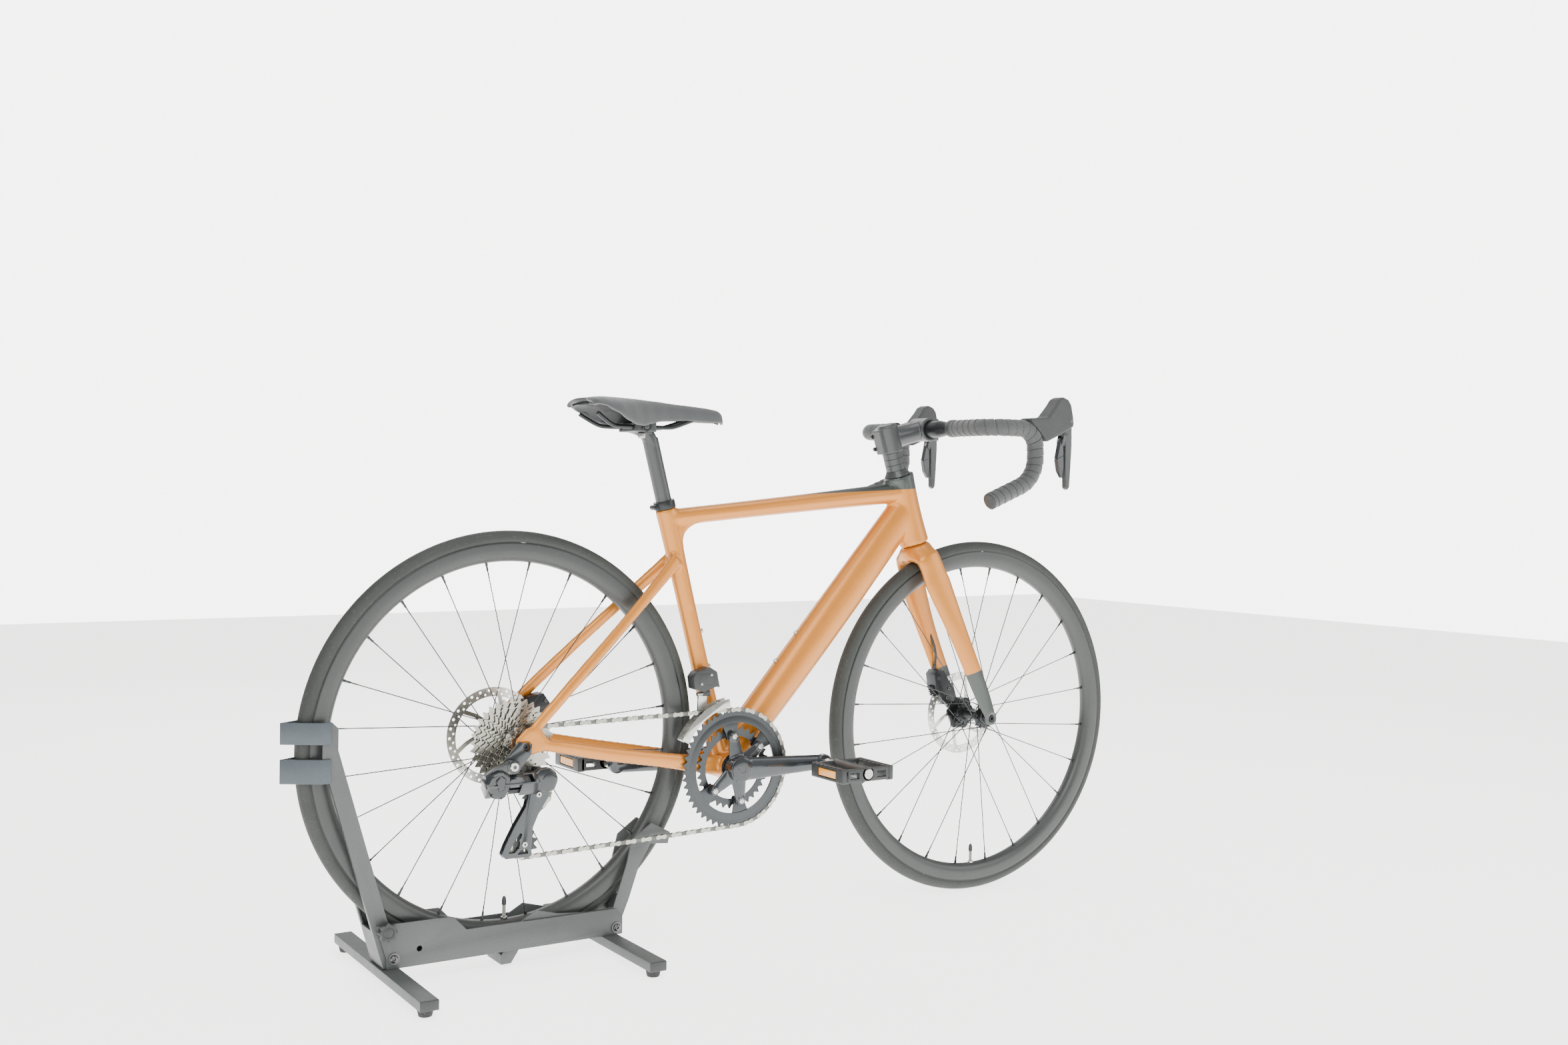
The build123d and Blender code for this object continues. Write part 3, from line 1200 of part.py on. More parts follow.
# Two rails, straight through the clamp and rising into the base at both ends.
with BuildPart() as saddle_rails:
    for hand in (-1, 1):
        y = hand * rail_spacing
        rail_points = (
            (clamp_at[0] - 88, hand * 34, tunnel_z - 2), (clamp_at[0] - 66, hand * 28, rail_z + 3),
            (clamp_at[0] - 46, y, rail_z), (clamp_at[0] + 52, y, rail_z),
            (clamp_at[0] + 108, hand * 13, tunnel_z - 3),
        )
        hose(rail_points, [14, 14, 24], rail_radius)
    add(saddle.part, mode=Mode.SUBTRACT)
saddle_rails.part.label = "saddle_rails"
export_step(saddle_rails.part, "parts/saddle_rails.step")
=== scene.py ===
import bpy
import json
from math import acos, atan2, cos, hypot, pi, radians, sin, tan
from mathutils import Matrix, Vector

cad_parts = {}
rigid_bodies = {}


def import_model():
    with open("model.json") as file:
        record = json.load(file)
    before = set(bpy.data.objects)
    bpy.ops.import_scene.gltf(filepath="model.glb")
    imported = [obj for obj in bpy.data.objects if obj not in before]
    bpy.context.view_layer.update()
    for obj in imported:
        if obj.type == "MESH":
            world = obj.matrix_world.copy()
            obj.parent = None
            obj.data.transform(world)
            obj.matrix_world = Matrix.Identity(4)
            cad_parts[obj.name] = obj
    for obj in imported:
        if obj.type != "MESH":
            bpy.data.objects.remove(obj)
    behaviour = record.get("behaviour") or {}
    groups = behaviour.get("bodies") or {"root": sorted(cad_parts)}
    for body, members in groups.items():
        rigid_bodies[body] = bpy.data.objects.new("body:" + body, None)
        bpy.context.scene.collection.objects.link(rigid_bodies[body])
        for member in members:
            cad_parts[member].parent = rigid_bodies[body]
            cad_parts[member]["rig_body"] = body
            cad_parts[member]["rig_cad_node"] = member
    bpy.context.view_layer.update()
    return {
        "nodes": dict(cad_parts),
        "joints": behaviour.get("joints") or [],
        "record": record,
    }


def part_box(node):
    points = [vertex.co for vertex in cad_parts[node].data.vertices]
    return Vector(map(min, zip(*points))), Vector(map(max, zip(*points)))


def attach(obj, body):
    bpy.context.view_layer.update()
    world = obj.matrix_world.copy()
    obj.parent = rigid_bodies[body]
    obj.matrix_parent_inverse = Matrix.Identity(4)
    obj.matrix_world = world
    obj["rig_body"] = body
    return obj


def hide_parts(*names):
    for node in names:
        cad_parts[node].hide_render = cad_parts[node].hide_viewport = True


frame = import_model()

# Sizes below are millimetres in the frame's own axes: +X forward, +Y to the rider's left, +Z up.
mm = 0.001
pivot = {j["name"]: Vector(j["pos_m"]) / mm for j in frame["joints"] if j.get("pos_m")}
bodyOf = {n: body for body, group in frame["record"]["behaviour"]["bodies"].items() for n in group}
rearAxle = pivot["rear_wheel_spin"]
frontAxle = pivot["front_wheel_spin"]
crankAxle = pivot["crank_spin"]
tyreRadius = (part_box("front_tyre")[1].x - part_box("front_tyre")[0].x) / mm / 2
steerWay = Vector(next(j["axis"] for j in frame["joints"] if j["name"] == "steering"))
steerAhead = Vector((steerWay.z, 0, -steerWay.x))
across = Vector((0, 1, 0))


def nodeMiddle(name):
    low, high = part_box(name)
    return (low + high) / 2 / mm


# Modelling helpers: each one does what a hand would do with the same tool.
def choose(*pieces):
    if bpy.context.object and bpy.context.object.mode != "OBJECT":
        bpy.ops.object.mode_set(mode="OBJECT")
    bpy.ops.object.select_all(action="DESELECT")
    for piece in pieces:
        piece.select_set(True)
    if pieces:
        bpy.context.view_layer.objects.active = pieces[0]


def openMesh(piece, mode="FACE"):
    choose(piece)
    bpy.ops.object.mode_set(mode="EDIT")
    bpy.ops.mesh.select_mode(type=mode)
    bpy.ops.mesh.select_all(action="SELECT")


def closeMesh(piece, tidy=True):
    if tidy:
        bpy.ops.mesh.select_all(action="SELECT")
        bpy.ops.mesh.remove_doubles(threshold=1e-6)
        bpy.ops.mesh.normals_make_consistent(inside=False)
    bpy.ops.object.mode_set(mode="OBJECT")
    return piece


def modify(piece, kind, **settings):
    choose(piece)
    bpy.ops.object.modifier_add(type=kind)
    modifier = piece.modifiers[-1]
    for name, value in settings.items():
        setattr(modifier, name, value)
    bpy.ops.object.modifier_apply(modifier=modifier.name)
    return piece


def rounded(piece, width, segments=2, angle=30):
    return modify(piece, "BEVEL", width=width * mm, segments=segments, limit_method="ANGLE",
                  angle_limit=radians(angle), use_clamp_overlap=True)


def settled(piece):
    choose(piece)
    bpy.ops.object.transform_apply(location=True, rotation=True, scale=True)
    return piece


def joined(pieces):
    choose(*pieces)
    if len(pieces) > 1:
        bpy.ops.object.join()
    return bpy.context.object


def duplicate(piece, turnedBy=None):
    twin = piece.copy()
    twin.data = piece.data.copy()
    bpy.context.collection.objects.link(twin)
    if turnedBy is not None:
        twin.data.transform(turnedBy)
    return twin


def about(centre, angle, axis=across):
    # Turn about an axis through a point given in millimetres.
    centre = Vector(centre) * mm
    return Matrix.Translation(centre) @ Matrix.Rotation(angle, 4, axis) @ Matrix.Translation(-centre)


def turned(profile, centre, axis=across, steps=48, start=None):
    # A closed outline of (radius, along) points, spun about the axis.
    choose()
    bpy.ops.mesh.primitive_circle_add(vertices=len(profile), radius=mm, fill_type="NOTHING")
    piece = bpy.context.object
    axis = Vector(axis).normalized()
    outwards = (start or axis.orthogonal()).normalized()
    for vertex, (radius, along) in zip(piece.data.vertices, profile):
        vertex.co = (Vector(centre) + outwards * radius + axis * along) * mm
    openMesh(piece)
    bpy.ops.mesh.spin(steps=steps, angle=2 * pi, center=Vector(centre) * mm, axis=axis)
    return closeMesh(piece)


def plated(outline, yFrom, yTo, edge=0.4, segments=2):
    # An outline of (x, z) points, extruded across the bicycle.
    choose()
    bpy.ops.mesh.primitive_circle_add(vertices=len(outline), radius=mm, fill_type="NGON")
    piece = bpy.context.object
    for vertex, (x, z) in zip(piece.data.vertices, outline):
        vertex.co = Vector((x, yFrom, z)) * mm
    openMesh(piece)
    bpy.ops.mesh.extrude_region_move(TRANSFORM_OT_translate={"value": (0, (yTo - yFrom) * mm, 0)})
    closeMesh(piece)
    return rounded(piece, edge, segments) if edge else piece


def rod(start, end, radius, tip=None, sides=20, edge=0.3):
    choose()
    along = Vector(end) - Vector(start)
    middle = (Vector(start) + Vector(end)) / 2
    bpy.ops.mesh.primitive_cone_add(
        vertices=sides, radius1=radius * mm, radius2=(radius if tip is None else tip) * mm,
        depth=along.length * mm, location=middle * mm, rotation=along.to_track_quat("Z", "Y").to_euler())
    piece = settled(bpy.context.object)
    return rounded(piece, edge) if edge else piece


def block(centre, size, edge=0.6, segments=2, turn=None, at=None):
    choose()
    bpy.ops.mesh.primitive_cube_add(size=1, location=Vector(centre) * mm, scale=Vector(size) * mm)
    piece = settled(bpy.context.object)
    if turn:
        piece.data.transform(about(at or centre, turn))
    return rounded(piece, edge, segments) if edge else piece


def tube(points, radius, sides=16, order=3, resolution=8, steps=None):
    # A smooth round tube along a NURBS line.
    choose()
    bpy.ops.curve.primitive_nurbs_path_add()
    curve = bpy.context.object
    curve.data.splines.clear()
    spline = curve.data.splines.new("NURBS")
    spline.points.add(len(points) - 1)
    for place, point in zip(spline.points, points):
        place.co = (*(Vector(point) * mm), 1)
    spline.order_u = order
    spline.use_endpoint_u = True
    spline.resolution_u = resolution
    curve.data.dimensions = "3D"
    curve.data.bevel_depth = radius * mm
    curve.data.bevel_resolution = max(sides // 4 - 1, 1)
    curve.data.use_fill_caps = True
    choose(curve)
    bpy.ops.object.convert(target="MESH")
    piece = bpy.context.object
    openMesh(piece)
    return closeMesh(piece)


def cut(piece, *cutters):
    tool = joined(list(cutters))
    modify(piece, "BOOLEAN", object=tool, operation="DIFFERENCE", solver="EXACT")
    bpy.data.objects.remove(tool)
    return piece


def nodeCopy(name, flat=0.6):
    # The designed part itself, with its triangles joined up again.
    choose(frame["nodes"][name])
    bpy.ops.object.duplicate()
    piece = bpy.context.object
    piece.parent = None
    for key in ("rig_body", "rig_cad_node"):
        del piece[key]
    piece.data.materials.clear()
    openMesh(piece)
    bpy.ops.mesh.customdata_custom_splitnormals_clear()
    bpy.ops.mesh.remove_doubles(threshold=1e-5)
    if flat:
        bpy.ops.mesh.dissolve_limited(angle_limit=radians(flat))
    bpy.ops.object.mode_set(mode="OBJECT")
    return piece


def eased(name, width=0.5, segments=2):
    return rounded(nodeCopy(name), width, segments)


def moulded(name, voxel, rounds, factor=0.5):
    piece = nodeCopy(name, flat=0)
    modify(piece, "REMESH", mode="VOXEL", voxel_size=voxel * mm)
    return modify(piece, "SMOOTH", factor=factor, iterations=rounds)


def put(piece, name, body, material, stands=(), smooth=38):
    # Names a finished piece, gives it its finish and lets it move with its body.
    piece.name = name
    piece.data.name = name
    piece.data.materials.clear()
    piece.data.materials.append(material)
    piece.data.polygons.foreach_set("material_index", [0] * len(piece.data.polygons))
    choose(piece)
    if smooth:
        bpy.ops.object.shade_smooth_by_angle(angle=radians(smooth))
    else:
        bpy.ops.object.shade_flat()
    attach(piece, body)
    if stands:
        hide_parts(*stands)
    return piece


def arcPoints(centre, radius, start, stop, count):
    turns = [radians(start + (stop - start) * i / (count - 1)) for i in range(count)]
    return [(centre[0] + radius * cos(t), centre[1] + radius * sin(t)) for t in turns]


print("frame loaded:", len(frame["nodes"]), "nodes")

# Finishes. Each group puts out values and colours; the shader stays in the material.
def makeGroup(name, takes, gives):
    group = bpy.data.node_groups.new(name, "ShaderNodeTree")
    for socket, kind, value in takes:
        made = group.interface.new_socket(name=socket, in_out="INPUT", socket_type="NodeSocket" + kind)
        if value is not None:
            made.default_value = value
    for socket, kind in gives:
        group.interface.new_socket(name=socket, in_out="OUTPUT", socket_type="NodeSocket" + kind)
    return group, group.nodes.new("NodeGroupInput"), group.nodes.new("NodeGroupOutput")


def node(tree, kind, links=(), **settings):
    made = tree.nodes.new("ShaderNode" + kind)
    for name, value in settings.items():
        if hasattr(made, name):
            setattr(made, name, value)
        else:
            made.inputs[name.replace("_", " ")].default_value = value
    for socket, source in links:
        tree.links.new(source, made.inputs[socket])
    return made


def maths(tree, operation, first, second=None):
    made = tree.nodes.new("ShaderNodeMath")
    made.operation = operation
    for i, value in enumerate((first, second)):
        if value is None:
            continue
        if isinstance(value, (int, float)):
            made.inputs[i].default_value = value
        else:
            tree.links.new(value, made.inputs[i])
    return made.outputs[0]


def mixed(tree, share, first, second):
    made = tree.nodes.new("ShaderNodeMix")
    made.data_type = "RGBA"
    for i, value in ((0, share), (6, first), (7, second)):
        if hasattr(value, "is_output"):
            tree.links.new(value, made.inputs[i])
        elif i:
            made.inputs[i].default_value = (*value[:3], 1)
        else:
            made.inputs[i].default_value = value
    return made.outputs[2]


def mapRange(tree, value, low, high, start, stop):
    made = tree.nodes.new("ShaderNodeMapRange")
    tree.links.new(value, made.inputs["Value"])
    for socket, number in (("From Min", low), ("From Max", high), ("To Min", start), ("To Max", stop)):
        if isinstance(number, (int, float)):
            made.inputs[socket].default_value = number
        else:
            tree.links.new(number, made.inputs[socket])
    return made.outputs["Result"]


# Fine grain of a moulded, cast or coated skin: a height and a roughness that wander together.
grain, gIn, gOut = makeGroup(
    "surfaceGrain",
    [("Place", "Vector", None), ("Scale", "Float", 900.0), ("Roughness", "Float", 0.5),
     ("Wander", "Float", 0.08)],
    [("Roughness", "Float"), ("Height", "Float")])
fineNoise = node(grain, "TexNoise", [("Vector", gIn.outputs[0]), ("Scale", gIn.outputs[1])], Detail=3.0)
wideScale = maths(grain, "MULTIPLY", gIn.outputs[1], 0.04)
wideNoise = node(grain, "TexNoise", [("Vector", gIn.outputs[0]), ("Scale", wideScale)], Detail=4.0)
wander = maths(grain, "MULTIPLY", maths(grain, "SUBTRACT", wideNoise.outputs["Fac"], 0.5), gIn.outputs[3])
grain.links.new(maths(grain, "ADD", gIn.outputs[2], maths(grain, "MULTIPLY", wander, 3.0)), gOut.inputs[0])
grain.links.new(fineNoise.outputs["Fac"], gOut.inputs[1])

# Slow drift of colour with handling marks and a thin film of dust.
drift, dIn, dOut = makeGroup(
    "colourDrift",
    [("Place", "Vector", None), ("Colour", "Color", (0.5, 0.5, 0.5, 1)), ("Drift", "Float", 0.1),
     ("Marks", "Color", (0.3, 0.29, 0.27, 1)), ("Mark Share", "Float", 0.06), ("Scale", "Float", 30.0)],
    [("Colour", "Color")])
slowNoise = node(drift, "TexNoise", [("Vector", dIn.outputs[0]), ("Scale", dIn.outputs[5])], Detail=5.0)
shade = maths(drift, "ADD", maths(drift, "MULTIPLY", maths(
    drift, "SUBTRACT", slowNoise.outputs["Fac"], 0.5), maths(drift, "MULTIPLY", dIn.outputs[2], 2.0)), 1.0)
scaled = node(drift, "VectorMath", [(0, dIn.outputs[1])], operation="SCALE")
drift.links.new(shade, scaled.inputs["Scale"])
speckScale = maths(drift, "MULTIPLY", dIn.outputs[5], 11.0)
specks = node(drift, "TexNoise", [("Vector", dIn.outputs[0]), ("Scale", speckScale)], Detail=6.0,
              Roughness=0.7)
markMask = maths(drift, "MULTIPLY", mapRange(drift, specks.outputs["Fac"], 0.56, 0.72, 0.0, 1.0),
                 dIn.outputs[4])
drift.links.new(mixed(drift, markMask, scaled.outputs[0], dIn.outputs[3]), dOut.inputs[0])

# Rings left by a lathe, centred on an axle that runs across the bicycle.
lathed, lIn, lOut = makeGroup(
    "latheRings",
    [("Place", "Vector", None), ("Spacing", "Float", 3000.0), ("Roughness", "Float", 0.3)],
    [("Roughness", "Float"), ("Height", "Float"), ("Radius", "Float"), ("Turn", "Float")])
split = node(lathed, "SeparateXYZ", [(0, lIn.outputs[0])])
radiusSquared = maths(lathed, "ADD", maths(lathed, "POWER", split.outputs["X"], 2.0),
                      maths(lathed, "POWER", split.outputs["Z"], 2.0))
reach = maths(lathed, "SQRT", radiusSquared)
ringNoise = node(lathed, "TexNoise", [("W", reach), ("Scale", lIn.outputs[1])], noise_dimensions="1D",
                 Detail=2.0)
lathed.links.new(mapRange(lathed, ringNoise.outputs["Fac"], 0.3, 0.7, -0.08, 0.08), lOut.inputs[0])
ringRough = maths(lathed, "ADD", lIn.outputs[2], maths(lathed, "MULTIPLY", maths(
    lathed, "SUBTRACT", ringNoise.outputs["Fac"], 0.5), 0.35))
lathed.links.new(ringRough, lOut.inputs[0])
lathed.links.new(ringNoise.outputs["Fac"], lOut.inputs[1])
lathed.links.new(reach, lOut.inputs[2])
lathed.links.new(maths(lathed, "ARCTAN2", split.outputs["Z"], split.outputs["X"]), lOut.inputs[3])

# Metal flake under a clear coat.
flake, fIn, fOut = makeGroup(
    "metalFlake",
    [("Place", "Vector", None), ("Colour", "Color", (0.6, 0.3, 0.1, 1)), ("Scale", "Float", 2600.0),
     ("Sparkle", "Float", 0.25)],
    [("Colour", "Color"), ("Height", "Float")])
cells = node(flake, "TexVoronoi", [("Vector", fIn.outputs[0]), ("Scale", fIn.outputs[2])])
cellShade = node(flake, "SeparateColor", [(0, cells.outputs["Color"])])
glint = maths(flake, "ADD", maths(flake, "MULTIPLY", maths(
    flake, "SUBTRACT", cellShade.outputs[0], 0.5), fIn.outputs[3]), 1.0)
tinted = node(flake, "VectorMath", [(0, fIn.outputs[1])], operation="SCALE")
flake.links.new(glint, tinted.inputs["Scale"])
flake.links.new(tinted.outputs[0], fOut.inputs[0])
flake.links.new(cellShade.outputs[1], fOut.inputs[1])


def placed(tree, group, place, **values):
    made = tree.nodes.new("ShaderNodeGroup")
    made.node_tree = group
    tree.links.new(place, made.inputs["Place"])
    for name, value in values.items():
        socket = made.inputs[name.replace("_", " ")]
        if hasattr(value, "is_output"):
            tree.links.new(value, socket)
        else:
            socket.default_value = (*value, 1) if isinstance(value, tuple) and len(value) == 3 else value
    return made


def finish(name, colour, roughness, metallic=0.0, coat=0.0, grainScale=900.0, bump=0.12, depth=0.00005,
           wander=0.06, driftBy=0.12, marks=(0.32, 0.31, 0.29), markShare=0.05, driftScale=30.0, sheen=0.0):
    # The plain recipe: drifting colour, wandering roughness and a fine grain.
    made = bpy.data.materials.new(name)
    made.use_nodes = True
    made.diffuse_color = (*colour, 1)
    tree = made.node_tree
    shader = tree.nodes["Principled BSDF"]
    place = tree.nodes.new("ShaderNodeTexCoord").outputs["Object"]
    shader.inputs["Metallic"].default_value = metallic
    shader.inputs["Coat Weight"].default_value = coat
    shader.inputs["Coat Roughness"].default_value = 0.12
    shader.inputs["Sheen Weight"].default_value = sheen
    shades = placed(tree, drift, place, Colour=colour, Drift=driftBy, Marks=marks, Mark_Share=markShare,
                    Scale=driftScale)
    skin = placed(tree, grain, place, Scale=grainScale, Roughness=roughness, Wander=wander)
    relief = node(tree, "Bump", [("Height", skin.outputs["Height"])], Strength=bump, Distance=depth)
    tree.links.new(shades.outputs[0], shader.inputs["Base Color"])
    tree.links.new(skin.outputs["Roughness"], shader.inputs["Roughness"])
    tree.links.new(relief.outputs[0], shader.inputs["Normal"])
    return {"material": made, "tree": tree, "shader": shader, "place": place, "shades": shades, "skin": skin,
            "relief": relief}


finishes = {
    "standPaint": dict(colour=(0.082, 0.09, 0.088), roughness=0.5, grainScale=1500.0, bump=0.55, depth=0.0002,
                       metallic=0.15, markShare=0.16, marks=(0.25, 0.25, 0.24)),
    # wheel hooks: dark stand paint with a painted sheen; the bluish tint stands in for the sheen seen on them
    "hookPaintAndSheen": dict(colour=(0.06, 0.075, 0.085), roughness=0.42, grainScale=1300.0, bump=0.45, depth=0.0002,
                      metallic=0.2, markShare=0.1),
    "knobPlastic": dict(colour=(0.03, 0.033, 0.033), roughness=0.5, grainScale=1200.0, bump=0.3),
    "blackAlloy": dict(colour=(0.032, 0.035, 0.036), roughness=0.33, metallic=0.75, grainScale=2200.0,
                       bump=0.15),
    "glossBlack": dict(colour=(0.02, 0.024, 0.026), roughness=0.2, metallic=0.3, coat=0.6, bump=0.05,
                       markShare=0.03),
    "moulding": dict(colour=(0.028, 0.031, 0.031), roughness=0.46, grainScale=1400.0, bump=0.3,
                     markShare=0.08),
    "crankGrey": dict(colour=(0.045, 0.05, 0.054), roughness=0.22, metallic=0.65, coat=0.5, bump=0.06),
    "carbon": dict(colour=(0.032, 0.036, 0.036), roughness=0.38, coat=0.25, grainScale=700.0, bump=0.05),
    "steel": dict(colour=(0.5, 0.5, 0.47), roughness=0.27, metallic=1.0, grainScale=2500.0, bump=0.1,
                  markShare=0.14, marks=(0.16, 0.15, 0.13)),
    "chainSteel": dict(colour=(0.4, 0.4, 0.35), roughness=0.3, metallic=0.95, grainScale=2500.0, bump=0.1,
                       markShare=0.3, marks=(0.12, 0.115, 0.1), driftScale=90.0),
    "rollerSteel": dict(colour=(0.13, 0.13, 0.115), roughness=0.38, metallic=0.9, grainScale=2500.0, bump=0.1,
                        markShare=0.3, driftScale=90.0),
    "darkSteel": dict(colour=(0.12, 0.12, 0.12), roughness=0.35, metallic=0.9, grainScale=2000.0, bump=0.1),
    "hoodRubber": dict(colour=(0.026, 0.028, 0.028), roughness=0.62, grainScale=1100.0, bump=0.4, sheen=0.15),
    "footRubber": dict(colour=(0.02, 0.02, 0.02), roughness=0.75, grainScale=900.0, bump=0.5, markShare=0.3),
    "spokeBlack": dict(colour=(0.05, 0.052, 0.052), roughness=0.35, metallic=0.85, bump=0.05),
    "orangeLens": dict(colour=(0.92, 0.36, 0.01), roughness=0.16, coat=0.8, bump=0.05, markShare=0.05),
    "saddleCover": dict(colour=(0.045, 0.049, 0.05), roughness=0.55, grainScale=1600.0, bump=0.5,
                        depth=0.0001, sheen=0.2, markShare=0.1),
}
look = {name: finish(name, **settings)["material"] for name, settings in finishes.items()}


def twoTonePaint(name, point, way, fade):
    # Copper flake paint that turns dark past a plane, with a soft edge of the given width.
    made = finish(name, (0.6, 0.215, 0.022), 0.36, metallic=0.4, coat=0.3, bump=0.02, driftBy=0.04,
                  grainScale=1200.0, markShare=0.0, wander=0.02)
    tree, place = made["tree"], made["place"]
    offset = node(tree, "VectorMath", [(0, place)], operation="SUBTRACT")
    offset.inputs[1].default_value = Vector(point) * mm
    along = node(tree, "VectorMath", [(0, offset.outputs[0])], operation="DOT_PRODUCT")
    along.inputs[1].default_value = Vector(way).normalized()
    dark = mapRange(tree, along.outputs["Value"], -fade * mm / 2, fade * mm / 2, 0.0, 1.0)
    copper = placed(tree, flake, place, Colour=(0.6, 0.215, 0.022), Scale=2600.0, Sparkle=0.16)
    panel = placed(tree, flake, place, Colour=(0.05, 0.06, 0.055), Scale=2600.0, Sparkle=0.4)
    tree.links.new(mixed(tree, dark, copper.outputs[0], panel.outputs[0]), made["shades"].inputs["Colour"])
    tree.links.new(copper.outputs["Height"], made["relief"].inputs["Height"])
    made["relief"].inputs["Distance"].default_value = 0.00001
    return made["material"]


def centredPlace(made, centre):
    # Object coordinates measured from an axle, for patterns that go round it.
    shift = node(made["tree"], "Mapping", [("Vector", made["place"])])
    shift.inputs["Location"].default_value = -Vector(centre) * mm
    return shift.outputs[0]


def tyreRubber(name, centre):
    # Fine slanted hatching on both shoulders, smooth crown and sidewalls, and dust near the road.
    made = finish(name, (0.026, 0.03, 0.026), 0.66, grainScale=1000.0, bump=0.25, driftBy=0.2, markShare=0.18,
                  driftScale=14.0, marks=(0.15, 0.15, 0.13))
    tree = made["tree"]
    rings = placed(tree, lathed, centredPlace(made, centre), Spacing=900.0)
    away = node(tree, "SeparateXYZ", [(0, made["place"])])
    aside = maths(tree, "ABSOLUTE", away.outputs["Y"])
    slant = maths(tree, "ADD", maths(tree, "MULTIPLY", rings.outputs["Turn"], 420.0),
                  maths(tree, "MULTIPLY", aside, 2600.0))
    hatch = maths(tree, "SINE", slant)
    shoulder = maths(tree, "MULTIPLY", mapRange(tree, aside, 0.0035, 0.0045, 0.0, 1.0),
                     mapRange(tree, aside, 0.0105, 0.0095, 0.0, 1.0))
    height = maths(tree, "ADD", maths(tree, "MULTIPLY", maths(tree, "MULTIPLY", hatch, shoulder), 2.0),
                   made["skin"].outputs["Height"])
    tree.links.new(height, made["relief"].inputs["Height"])
    made["relief"].inputs["Distance"].default_value = 0.0002
    made["relief"].inputs["Strength"].default_value = 0.5
    return made["material"]


def turnedSteel(name, centre, colour=(0.6, 0.6, 0.57), roughness=0.24, spacing=2600.0, metallic=1.0):
    made = finish(name, colour, roughness, metallic=metallic, bump=0.1, markShare=0.1,
                  marks=(0.2, 0.18, 0.15))
    tree = made["tree"]
    rings = placed(tree, lathed, centredPlace(made, centre), Spacing=spacing, Roughness=roughness)
    tree.links.new(rings.outputs["Roughness"], made["shader"].inputs["Roughness"])
    tree.links.new(rings.outputs["Height"], made["relief"].inputs["Height"])
    return made["material"]


def rimCarbon(name, centre, edgeRadius):
    # Satin black, with painted shade: a darker band along the rim's outer edge where the tyre sits against
    # it.
    made = finish(name, (0.026, 0.03, 0.028), 0.4, coat=0.12, grainScale=700.0, bump=0.06, driftBy=0.15,
                  driftScale=12.0, markShare=0.04)
    tree = made["tree"]
    rings = placed(tree, lathed, centredPlace(made, centre), Spacing=500.0)
    # painted shade: the outer 1.6 mm of the rim, where the tyre meets it, is darkened
    line = mapRange(tree, rings.outputs["Radius"], (edgeRadius - 2.2) * mm, (edgeRadius - 1.6) * mm, 0.0, 1.0)
    colour = mixed(tree, line, (0.034, 0.038, 0.036), (0.01, 0.012, 0.011))
    tree.links.new(colour, made["shades"].inputs["Colour"])
    return made["material"]


def wovenTape(name):
    # Cushioned tape: tiny pores and a soft nap, placed by the piece's object coordinates.
    made = finish(name, (0.05, 0.053, 0.053), 0.66, grainScale=1200.0, bump=0.5, depth=0.0001, sheen=0.25,
                  driftBy=0.18, markShare=0.1)
    tree = made["tree"]
    pores = node(tree, "TexVoronoi", [("Vector", made["place"])], Scale=620.0)
    height = maths(tree, "ADD", maths(tree, "MULTIPLY", pores.outputs["Distance"], 1.5),
                   made["skin"].outputs["Height"])
    tree.links.new(height, made["relief"].inputs["Height"])
    return made["material"]


print("finishes made:", len(look))

# Wheels
wheel = {"spokes": 24, "rimDepth": 31, "rimHalf": 13.5, "tyreHeight": 19, "tyreHalf": 14, "flangeRadius": 21,
         "flanges": {"rear": (-19, 34), "front": (-32, 24)}, "disc": {"rear": 54.0, "front": 39.5},
         "hubHalf": {"rear": 70.9, "front": 49.9}, "discRadius": 80}
rimOuter = tyreRadius - wheel["tyreHeight"]
rimInner = rimOuter - wheel["rimDepth"]


def makeTyre(end, centre):
    # A round casing with a slightly raised tread cap and a bead line close to the rim.
    middle, half = tyreRadius - wheel["tyreHalf"], wheel["tyreHalf"]
    outside = []
    for step in range(-16, 17):
        lean = radians(step * 6.9)
        proud = 0.0 if abs(step) < 6 else -0.25
        beadLine = -0.5 if abs(step) == 15 else 0.0
        size = half + proud + beadLine
        outside.append((middle + size * cos(lean), size * sin(lean)))
    inside = [(middle + (half - 2.4) * cos(radians(t)), (half - 2.4) * sin(radians(t))) for t in range(105,
                                                                                                       -106,
                                                                                                       -15)]
    casing = turned(outside + inside, centre, steps=180)
    return put(casing, f"{end}TyreCasing", f"{end}_wheel", tyreRubber(f"{end}TyreRubber", centre),
               [f"{end}_tyre"], smooth=50)


def makeRim(end, centre):
    half = wheel["rimHalf"]
    outline = [(rimOuter, half), (rimOuter - 0.8, half + 0.4), (rimOuter - 4, half + 0.5),
               (rimOuter - 12, half + 0.5)]
    for step in range(1, 12):
        lean = radians(step * 15)
        outline.append((rimOuter - 12 - (wheel["rimDepth"] - 12) * sin(lean) ** 0.75,
                        (half + 0.5) * cos(lean)))
    outline += [(rimOuter - 12, -half - 0.5), (rimOuter - 4, -half - 0.5), (rimOuter - 0.8, -half - 0.4),
                (rimOuter, -half), (rimOuter, 3 - half), (rimOuter - 6, 5 - half), (rimOuter - 8, 0),
                (rimOuter - 6, half - 5), (rimOuter, half - 3)]
    rim = turned(outline, centre, steps=180)
    holes = []
    for i in range(wheel["spokes"]):
        turn = 2 * pi * (i + 0.5) / wheel["spokes"]
        way = Vector((sin(turn), 0, -cos(turn)))
        holes.append(rod(centre + way * (rimInner - 3), centre + way * (rimInner + 4), 2.7, edge=0))
    down = Vector((0, 0, -1))
    holes.append(rod(centre + down * (rimInner - 3), centre + down * (rimInner + 4), 3.6, edge=0))
    cut(rim, *holes)
    put(rim, f"{end}RimHoop", f"{end}_wheel", rimCarbon(f"{end}RimCarbon", centre, rimOuter),
        [f"{end}_rim"])


